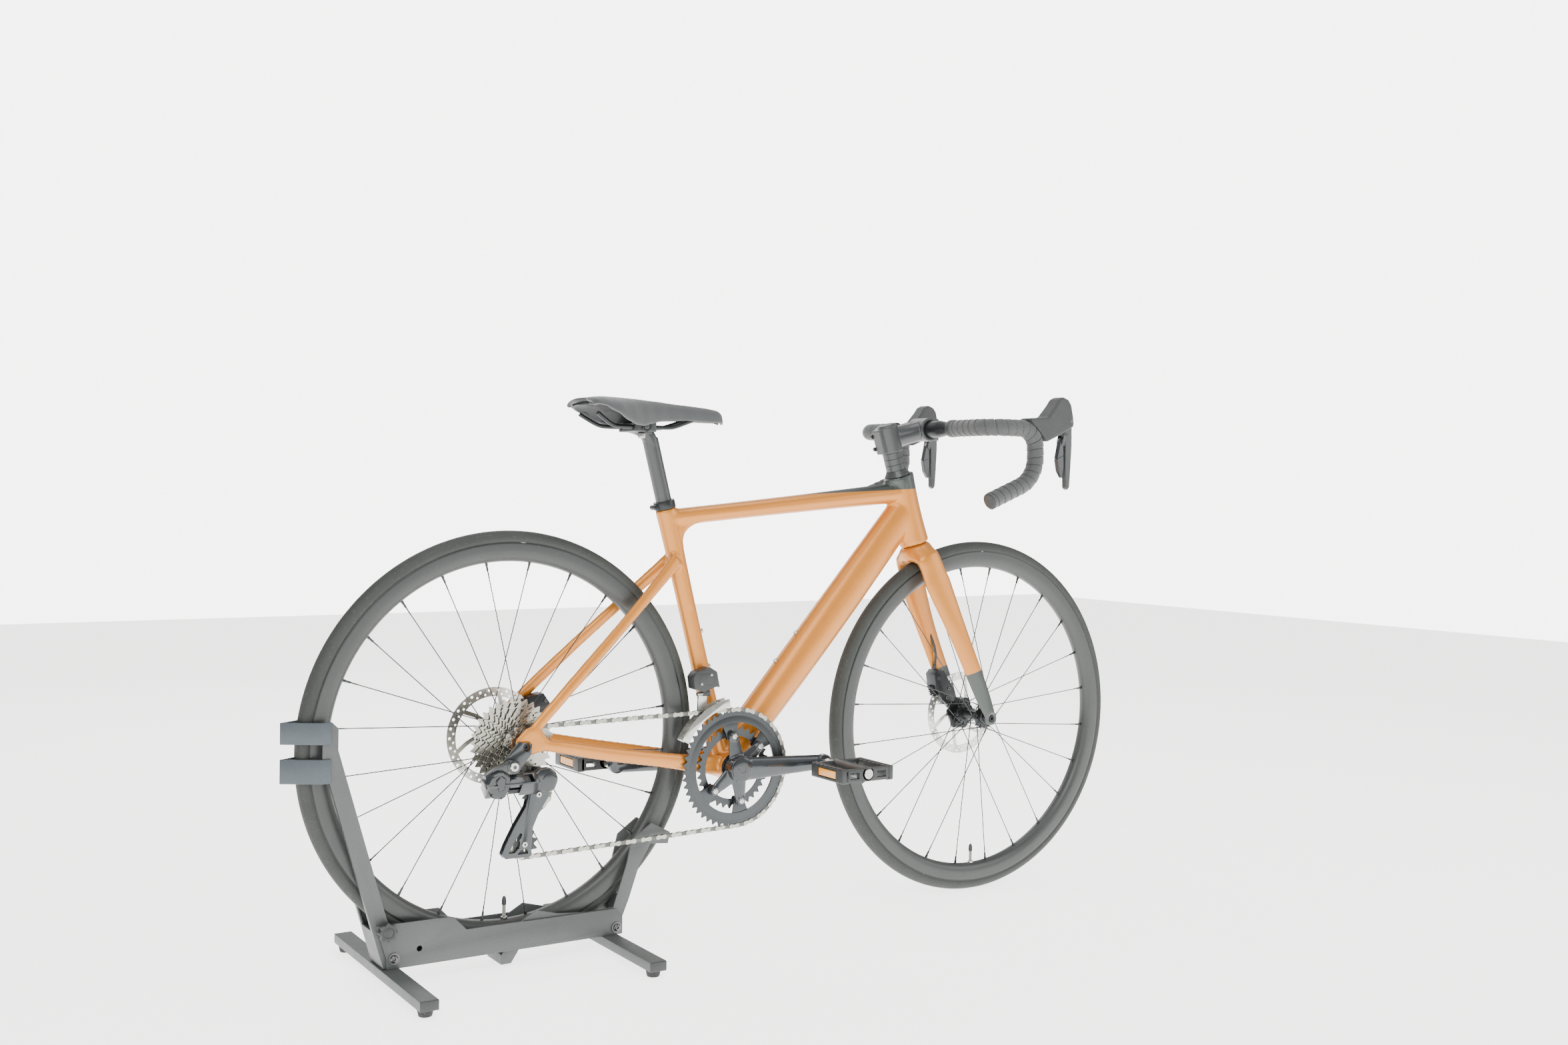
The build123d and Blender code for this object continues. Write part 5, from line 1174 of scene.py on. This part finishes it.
def makeMechMount():
    hanger = eased("mech_mount", 0.9, 3)
    case = plated(rearOutline((-77, -50), (-70, -37), (-48, -29), (-33, -40), (-35, -60), (-46, -75),
                              (-66, -72)),
                  -79, -106, 4.2, 1)
    ridge = plated(rearOutline((-62, -44), (-52, -36), (-43, -42), (-46, -60), (-56, -62)), -103, -108.5,
                   2.4, 1)
    put(joined([hanger, case, ridge]), "mechHanger", "bike", look["glossBlack"],
        ["mech_mount"])
    bolt = ringBolt(rearOutline((-26.5, -27))[0], -97.5, 7.4, 2.2)
    put(bolt, "mechHangerBolt", "bike", look["steel"])


def makeMechLinks():
    slant = radians(-52)
    lengthways = Vector((1, 0, 0))
    outer = eased("mech_outer_link", 1.6, 3)
    middle = nodeMiddle("mech_outer_link")
    outwards = Vector((0, -cos(slant), -sin(slant)))
    cover = block(middle + outwards * 5.2, (46, 3.4, 21), 1.4, 3)
    cover.data.transform(about(middle + outwards * 5.2, slant, lengthways))
    slots = []
    for x in (-11, 3):
        slotBlock = block(middle + outwards * 7.2 + lengthways * x, (9, 2.4, 3.4), 0)
        slotBlock.data.transform(about(middle + outwards * 7.2 + lengthways * x, slant, lengthways))
        slots.append(slotBlock)
    cut(cover, *slots)
    put(joined([outer, cover]), "mechOuterLink", "outer_link", look["glossBlack"],
        ["mech_outer_link"])
    put(eased("mech_inner_link", 0.8, 2), "mechInnerLink", "inner_link", look["blackAlloy"],
        ["mech_inner_link"])
    knuckle = eased("mech_knuckle", 1.4, 3)
    cagePivot = pivot["cage_swing"]
    cap = turned([(0, -95.2), (9, -95), (13.4, -94.2), (15.4, -92.4), (15.4, -88), (0, -88)],
                 (cagePivot.x, 0, cagePivot.z), steps=40)
    shoulder = plated(rearOutline((6, -42), (20, -34), (36, -33), (47, -41), (50, -56), (44, -70),
                                  (28, -72), (12, -66)),
                      -79, -94.5, 4.0, 3)
    put(joined([knuckle, cap, shoulder]), "mechKnuckle", "knuckle", look["glossBlack"],
        ["mech_knuckle"])


def makeMechCage():
    cage = eased("mech_cage", 0.55, 3)
    windows = (((-20, -170), (-10, -170), (-1, -162), (-1, -152), (3, -141), (-1, -139), (-10, -151)),
               ((-5, -173), (13, -173), (13, -166), (7, -164.6), (0, -167)))
    cut(cage, *[plated(rearOutline(*window), -20, -120, 0) for window in windows])
    put(cage, "mechCage", "cage", look["crankGrey"], ["mech_cage"])
    bolts = [ringBolt((spot.x, spot.z), chainY - 8, 4.6, 1.4) for spot in (guideAt, tensionAt)]
    put(joined(bolts), "pulleyBolts", "cage", look["steel"])


def makePulley(name, spot):
    centre = Vector((spot.x, 0, spot.z))
    phase = seatPhase(centre, pitchRadius(drive["pulley"]))
    wheelDisc = toothed(drive["pulley"], centre, chainY, 2.4, 5.4, phase, 3.4)
    holes = []
    for i in range(5):
        way = Vector((cos(2 * pi * i / 5), 0, sin(2 * pi * i / 5)))
        middle = centre + way * 11.4
        holes.append(rod(middle + across * (chainY - 4), middle + across * (chainY + 4), 2.5, sides=14,
                         edge=0))
    cut(wheelDisc, *holes)
    hub = turned([(2.6, chainY - 4.4), (5.4, chainY - 4.4), (6.2, chainY - 3.4), (6.2, chainY + 3.4),
                  (5.4, chainY + 4.4), (2.6, chainY + 4.4)], centre, steps=32)
    put(joined([wheelDisc, hub]), name + "Wheel", "_".join((name, "pulley")),
        look["moulding"],
        ["_".join((name, "pulley"))])


def makeFrontMech():
    body = eased("front_mech_body", 2.4, 3)
    low, high = (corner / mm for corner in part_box("front_mech_body"))
    middle = (low + high) / 2
    panel = block((middle.x - 1, low.y + 0.6, middle.z + 1), (26, 2.6, 19), 1.0, 3)
    foot = block((middle.x + 3, low.y + 9, low.z - 3), (15, 9, 9), 1.4, 3)
    put(joined([body, panel, foot]), "frontMechBody", "bike", look["moulding"],
        ["front_mech_body"])
    screws = [ringBolt((middle.x + x, middle.z + z), low.y - 0.5, 2.2, 0.9) for x, z in ((-10, -7), (9, 8))]
    put(joined(screws), "frontMechScrews", "bike", look["steel"])
    cage = eased("front_mech_cage", 0.45, 2)
    put(cage, "frontMechCage", "front_mech", look["steel"], ["front_mech_cage"])


def makeCaliper(name, body, finLow, finWay, turn, bolts):
    # Two-piece caliper with cooling fins over the pads and socket bolts.
    shell = eased(name, 1.3, 3)
    low, high = (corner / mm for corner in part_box(name))
    y = (low.y + high.y) / 2
    fins = []
    for i in range(6):
        spot = finLow + finWay * (i * 3.6)
        fins.append(block((spot.x, y, spot.z), (15, 19, 1.5), 0.4, 1, turn=turn, at=(spot.x, y, spot.z)))
    banjo = turned([(0, low.y - 1.5), (4.2, low.y - 1.5), (5.2, low.y - 0.4), (5.2, low.y + 3),
                    (0, low.y + 3)],
                   (bolts[0].x, 0, bolts[0].z), steps=28)
    put(joined([shell, *fins, banjo]), name.split("_")[0] + "Caliper", body,
        look["blackAlloy"], [name])
    heads = [ringBolt((spot.x, spot.z), high.y - 0.3, 3.4, 2.0, 1) for spot in bolts]
    heads += [ringBolt((spot.x, spot.z), low.y + 0.3, 3.4, 1.6, -1) for spot in bolts[1:]]
    put(joined(heads), name.split("_")[0] + "CaliperBolts", body, look["darkSteel"])


def makeFrontHose():
    # Leaves the inner face of the left blade and drops to the caliper.
    route = [steerPoint(174, 21, 44), steerPoint(160, 21, 39.5), steerPoint(140, 21, 38),
             steerPoint(122, 18, 38.5),
             steerPoint(106, 10, 41), steerPoint(90, 6, 43)]
    hose = tube(route, 2.4, 16, 4, 10)
    sleeve = rod(steerPoint(113, 12.8, 40.1), steerPoint(100, 8.2, 42), 3.4, sides=18, edge=0.5)
    put(joined([hose, sleeve]), "frontBrakeHose", "fork", look["moulding"], ["front_brake_hose"])


makeMechMount()
makeMechLinks()
makeMechCage()
makePulley("guide", guideAt)
makePulley("tension", tensionAt)
makeFrontMech()
finUp = Vector((steerWay.x, 0, steerWay.z))
makeCaliper("rear_caliper", "bike", fromRear(66, 44), Vector((0.25, 0, 0.97)), radians(-14),
            [fromRear(60, 46), fromRear(88, 54), fromRear(72, 34)])
makeCaliper("front_caliper", "fork", steerPoint(56, -2), finUp, radians(-17.5),
            [steerPoint(88, 6), steerPoint(60, 24), steerPoint(44, 14)])
makeFrontHose()
print("gear changers and brakes built")

# Stem, handlebar, grips and levers
barAt = Vector((pivot["right_brake"].x - 176, 0, pivot["right_brake"].z - 16))
grip = {"from": 85.0, "half": 200.0, "radius": 14.9, "step": 0.8, "pitch": 15.5, "lap": 1.0, "sides": 32}


def gridded(rows, columns, placeOf):
    # A square mesh whose points are set one by one, row by row.
    choose()
    bpy.ops.mesh.primitive_grid_add(x_subdivisions=columns - 1, y_subdivisions=rows - 1, size=mm)
    piece = bpy.context.object
    for index, vertex in enumerate(piece.data.vertices):
        vertex.co = placeOf(index // columns, index % columns) * mm
    return piece


def roundedRoute(corners, radii, step):
    # Straight runs joined by arcs, as points the same distance apart.
    line = [corners[0]]
    for i, radius in enumerate(radii, 1):
        back = (corners[i - 1] - corners[i]).normalized()
        onward = (corners[i + 1] - corners[i]).normalized()
        half = back.angle(onward) / 2
        centre = corners[i] + (back + onward).normalized() * (radius / sin(half))
        arm = corners[i] + back * (radius / tan(half)) - centre
        axis = arm.cross(corners[i] + onward * (radius / tan(half)) - centre).normalized()
        for k in range(25):
            line.append(centre + Matrix.Rotation((pi - 2 * half) * k / 24, 3, axis) @ arm)
    line.append(corners[-1])
    made, owed = [line[0]], step
    for start, end in zip(line, line[1:]):
        span = (end - start).length
        while owed <= span:
            made.append(start.lerp(end, owed / span))
            owed += step
        owed -= span
    return made


def alongFrames(line):
    # Two directions square to the line at each point, carried along it without twist.
    frames = []
    up = Vector((0, 0, 1))
    for i in range(len(line)):
        along = (line[min(i + 1, len(line) - 1)] - line[max(i - 1, 0)]).normalized()
        up = (up - along * up.dot(along)).normalized()
        frames.append((along, up, along.cross(up)))
    return frames


def gripLine(hand, start):
    x, z = barAt.x, barAt.z
    corners = [Vector((x, hand * start, z)), Vector((x, hand * 199, z)), Vector((x + 102, hand * 200, z)),
               Vector((x + 104, hand * 201, z - 91)), Vector((x - 6, hand * 203, z - 134))]
    return roundedRoute(corners, (40, 36, 58), grip["step"])


def makeGrip(hand, side):
    # Tape wound over the bar: each turn laps the one before it.
    line = gripLine(hand, grip["from"])
    frames = alongFrames(line)
    columns = grip["sides"] + 1

    def place(row, column):
        turn = 2 * pi * column / grip["sides"]
        share = (row * grip["step"] / grip["pitch"] + hand * turn / (2 * pi)) % 1.0
        radius = grip["radius"] + grip["lap"] * (share ** 0.7 - (2.2 if share > 0.9 else 0))
        along, up, sideways = frames[row]
        return line[row] + (up * cos(turn) + sideways * sin(turn)) * radius

    tape = gridded(len(line), columns, place)
    openMesh(tape)
    bpy.ops.mesh.remove_doubles(threshold=2e-6)
    bpy.ops.mesh.select_all(action="DESELECT")
    bpy.ops.mesh.select_mode(type="EDGE")
    bpy.ops.mesh.select_non_manifold()
    bpy.ops.mesh.edge_face_add()
    closeMesh(tape, False)
    put(tape, side + "GripTape", "fork", tapeLook, ["bar_tape"] if hand > 0 else [], smooth=50)
    band = turned([(15.2, hand * 83), (16.2, hand * 83.6), (16.35, hand * 88), (16.2, hand * 94),
                   (15.2, hand * 94.6)],
                  (barAt.x, 0, barAt.z), steps=48)
    along = frames[-1][0]
    end = line[-1]
    plug = turned([(0, -4), (13.8, -4), (15.1, -0.4), (14.8, 1.0), (13.2, 2.1), (9, 2.6), (0, 2.8)], end,
                  along,
                  steps=48)
    return [band, plug]


def makeHandlebar():
    bar = nodeCopy("handlebar", flat=0)
    put(bar, "handlebarTube", "fork", look["blackAlloy"], ["handlebar"], smooth=50)
    trims = makeGrip(-1, "right") + makeGrip(1, "left")
    put(joined(trims), "gripTrims", "fork", look["moulding"])


def makeStem():
    put(moulded("stem", 1.1, 6), "stemBody", "fork", look["carbon"], ["stem"], smooth=60)
    put(eased("stem_bolts", 0.5, 2), "stemBolts", "fork", look["darkSteel"], ["stem_bolts"])
    headHigh = 501.0
    spacers = []
    profile = [(14.5, 0.4), (24.3, 0.4), (23.4, 3.2), (20.6, 7.0), (19.0, 11.0), (14.5, 11.0)]
    spacers.append(turned(profile, steerPoint(headHigh, 0), steerWay, steps=64))
    for i in range(3):
        low = 11.2 + i * 11.6
        ring = [(14.5, low), (18.1, low), (18.6, low + 0.5), (18.6, low + 10.9), (18.1, low + 11.4),
                (14.5, low + 11.4)]
        spacers.append(turned(ring, steerPoint(headHigh, 0), steerWay, steps=64))
    put(joined(spacers), "headsetSpacers", "fork", look["carbon"], ["headset_cover"])


def makeLevers():
    hoods = moulded("lever_hoods", 1.2, 34)
    # The horn narrows and leans back towards its top.
    for vertex in hoods.data.vertices:
        rise = min(max((vertex.co.z / mm - barAt.z - 12) / 48, 0.0), 1.0)
        ahead = vertex.co.x / mm - barAt.x - 140
        if rise > 0 and ahead > 0:
            vertex.co.x -= ahead * 0.2 * rise * mm
        middleY = grip["half"] if vertex.co.y > 0 else -grip["half"]
        vertex.co.y = (middleY + (vertex.co.y / mm - middleY) * (1 - 0.14 * rise)) * mm
    put(hoods, "leverHoods", "fork", look["hoodRubber"], ["lever_hoods"], smooth=180)
    screws = []
    for hand, side in ((-1, "right"), (1, "left")):
        middleY = hand * grip["half"]
        lever = moulded(side + "_brake_lever", 0.85, 7)
        paddle = moulded(side + "_shift_paddle", 0.7, 5)
        for piece, least in ((lever, 0.72), (paddle, 0.9)):
            for vertex in piece.data.vertices:
                down = min(max((barAt.z - vertex.co.z / mm) / 105, 0.0), 1.0)
                vertex.co.y = (middleY + (vertex.co.y / mm - middleY) * (1 - (1 - least) * down)) * mm
                if piece is paddle:
                    vertex.co.x += max(barAt.x + 167 - vertex.co.x / mm, 0.0) * 0.3 * mm
        put(lever, side + "BrakeBlade", side + "_lever", look["carbon"], [side + "_brake_lever"],
            smooth=180)
        split = Vector((barAt.x + 158, middleY, barAt.z - 52))
        groove = block(split, (40, 20, 1.1), 0, turn=radians(-24), at=split)
        cut(paddle, groove)
        put(paddle, side + "ShiftButtons", side + "_paddle", look["glossBlack"],
            [side + "_shift_paddle"], smooth=60)
        pinSpot = Vector((barAt.x + 176, 0, barAt.z + 16))
        for face in (-1, 1):
            y = middleY + face * 16.2
            screws.append(turned([(0, y), (2.6, y), (2.6, y + face * 0.9), (0, y + face * 0.9)], pinSpot,
                                 steps=20))
    put(joined(screws), "leverPinHeads", "fork", look["darkSteel"])


tapeLook = wovenTape("gripTapeWeave")
makeHandlebar()
makeStem()
makeLevers()
print("cockpit built")

# Seat post and saddle
saddleLow, saddleHigh = (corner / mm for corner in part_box("saddle"))
saddle = {
    "length": saddleHigh.x - saddleLow.x - 16, "rows": 90, "columns": 53, "notchDepth": 25, "notchHalf": 11,
    "pad": 7.5,
    "half": ((0, 47), (3, 55), (9, 63), (24, 70.5), (50, 70), (78, 61), (106, 48), (135, 36), (165, 28),
             (200, 22.5),
             (250, 19), (272, 17.5), (282, 15), (287, 11.5), (290, 6)),
    "top": ((0, -3), (30, 0), (60, 0), (100, -1), (140, -3), (200, -7), (250, -11), (275, -14), (290, -19)),
    "skirt": ((0, -15), (14, -17), (40, -28), (66, -41), (88, -48), (104, -49), (122, -45), (150, -39),
              (200, -36),
              (270, -37), (290, -36)),
}


def tableAt(table, x):
    for (x0, y0), (x1, y1) in zip(table, table[1:]):
        if x <= x1:
            share = max((x - x0) / (x1 - x0), 0.0)
            ease = share * share * (3 - 2 * share) * 0.35 + share * 0.65
            return y0 + (y1 - y0) * ease
    return table[-1][1]


def saddlePoint(row, column, inset=0.0, lift=0.0):
    # Rows run from back to nose, columns from the right edge over the top to the left edge.
    t = row / (saddle["rows"] - 1)
    a = 2 * column / (saddle["columns"] - 1) - 1
    x = 290 * (t ** 1.25)
    half = tableAt(saddle["half"], x) - inset
    top, low = tableAt(saddle["top"], x) - inset, tableAt(saddle["skirt"], x) + lift
    phi = abs(a) * pi / 2
    y = half * sin(phi) ** 0.82 * (1 if a > 0 else -1)
    z = top - (top - low) * (1 - cos(phi) ** 0.9)
    notch = 2.718 ** -((y / saddle["notchHalf"]) ** 2)
    x = x + saddle["notchDepth"] * notch * (1 - t) ** 3
    channel = 2.718 ** -((y / 6.5) ** 2) * min(max((x - 20) / 50, 0), 1) * min(max((235 - x) / 60, 0), 1)
    z -= 2.6 * channel
    back = max(1 - t * 20, 0)
    z -= 4.0 * back ** 2 + 5.0 * max(1 - (290 - x) / 12, 0) ** 2
    return Vector((saddleHigh.x + (x - 290) * saddle["length"] / 290 + inset * (1 - 2 * t), y,
                   saddleHigh.z + z))


def makeSaddle():
    pad = gridded(saddle["rows"], saddle["columns"], saddlePoint)
    openMesh(pad)
    closeMesh(pad)
    modify(pad, "SOLIDIFY", thickness=saddle["pad"] * mm, offset=-1, use_even_offset=False)
    modify(pad, "SMOOTH", factor=0.5, iterations=4)
    modify(pad, "SUBSURF", levels=1)
    put(pad, "saddlePad", "saddle", look["saddleCover"], ["saddle"], smooth=180)
    # Moulded base inside the cover, with a lip along its lower edge.
    base = gridded(saddle["rows"], saddle["columns"], lambda row, column: saddlePoint(row, column, 7.2, 2.5))
    openMesh(base)
    closeMesh(base)
    modify(base, "SOLIDIFY", thickness=1.8 * mm, offset=-1)
    put(base, "saddleBase", "saddle", look["moulding"], smooth=60)


def makeRails():
    middle = Vector((saddleLow.x + 125, 0, saddleHigh.z - 47))
    railZ, tunnelZ = middle.z - 2, middle.z + 18
    made = []
    for hand in (-1, 1):
        route = [(middle.x - 92, 35, tunnelZ), (middle.x - 84, 33, tunnelZ - 5),
                 (middle.x - 68, 28, railZ + 5),
                 (middle.x - 56, 24, railZ), (middle.x - 40, 22, railZ), (middle.x, 22, railZ),
                 (middle.x + 44, 22, railZ), (middle.x + 58, 21, railZ + 1), (middle.x + 78, 18, railZ + 8),
                 (middle.x + 96, 15, tunnelZ - 6), (middle.x + 108, 13, tunnelZ - 2)]
        made.append(tube([Vector((x, hand * y, z)) for x, y, z in route], 3.5, 20, 4, 8))
    put(joined(made), "saddleRails", "saddle", look["blackAlloy"], ["saddle_rails"], smooth=60)


def makeSeatpost():
    post = moulded("seatpost", 1.2, 5)
    put(post, "seatpostTube", "seatpost", look["carbon"], ["seatpost"], smooth=60)
    middle = Vector((saddleLow.x + 125, 0, saddleHigh.z - 47))
    made = []
    for hand in (-1, 1):
        cap = turned([(0, hand * 34.4), (7.6, hand * 34.4), (8.6, hand * 33.4), (8.6, hand * 29),
                      (0, hand * 29)],
                     (middle.x, 0, middle.z - 1), steps=32)
        cut(cap, rod(Vector((middle.x, hand * 32.6, middle.z - 1)),
                     Vector((middle.x, hand * 36, middle.z - 1)), 3.0,
                     sides=6, edge=0))
        made.append(cap)
    put(joined(made), "saddleClampCaps", "seatpost", look["blackAlloy"])
    nut = block((middle.x + 2, -11, middle.z - 16), (10, 9, 9), 1.2, 2)
    put(nut, "saddleClampNut", "seatpost", look["steel"])


makeSaddle()
makeRails()
makeSeatpost()
print("saddle and seat post built")
# Floor, light and camera
def makeStage():
    choose()
    bpy.ops.mesh.primitive_grid_add(x_subdivisions=8, y_subdivisions=8, size=14, location=(0, 0, -0.0006))
    floor = settled(bpy.context.object)
    floor.name = "studioFloor"
    paper = finish("studioPaper", (0.93, 0.93, 0.92), 0.75, bump=0.02, driftBy=0.01, markShare=0.0)
    paper["shader"].inputs["Emission Color"].default_value = (1.0, 1.0, 0.99, 1)
    paper["shader"].inputs["Emission Strength"].default_value = 2.6
    floor.data.materials.append(paper["material"])
    world = bpy.data.worlds.new("studioAir")
    bpy.context.scene.world = world
    world.use_nodes = True
    # The room lights the bicycle evenly and looks clear white behind it.
    tree = world.node_tree
    air = tree.nodes["Background"]
    air.inputs["Color"].default_value = (1.0, 1.0, 0.99, 1)
    seen = node(tree, "LightPath", []).outputs["Is Camera Ray"]
    tree.links.new(mapRange(tree, seen, 0.0, 1.0, 0.62, 6.0), air.inputs["Strength"])


def addLamp(name, spot, aim, size, power):
    choose()
    bpy.ops.object.light_add(type="AREA", location=spot)
    lamp = bpy.context.object
    lamp.name = name
    lamp.data.shape = "RECTANGLE"
    lamp.data.size, lamp.data.size_y = size
    lamp.data.energy = power
    lamp.rotation_euler = (Vector(aim) - Vector(spot)).to_track_quat("-Z", "Y").to_euler()


def addCamera():
    yaw, pitch, roll = 0.576, -0.018, 0.015
    ahead = Vector((sin(yaw) * cos(pitch), cos(yaw) * cos(pitch), sin(pitch)))
    right = Vector((cos(yaw), -sin(yaw), 0))
    up = right.cross(ahead)
    rightRolled = right * cos(roll) + up * sin(roll)
    upRolled = up * cos(roll) - right * sin(roll)
    choose()
    bpy.ops.object.camera_add(location=(-1.4773, -2.3552, 0.7647))
    camera = bpy.context.object
    camera.name = "viewCamera"
    turn = Matrix((rightRolled, upRolled, -ahead)).transposed()
    camera.rotation_euler = turn.to_euler()
    camera.data.sensor_width = 36
    camera.data.lens = 35.907
    bpy.context.scene.camera = camera


makeStage()
addLamp("keySoftbox", (-1.6, -2.6, 2.6), (0, 0, 0.4), (2.6, 1.8), 80)
addLamp("fillSoftbox", (2.4, -1.8, 1.6), (0.2, 0, 0.4), (1.8, 1.8), 30)
addLamp("backSoftbox", (0.4, 3.0, 2.4), (0, 0, 0.5), (3.2, 1.6), 48)
addLamp("topSoftbox", (0.0, 0.0, 3.2), (0, 0, 0), (2.6, 1.4), 40)
addCamera()

print("stage and camera set")
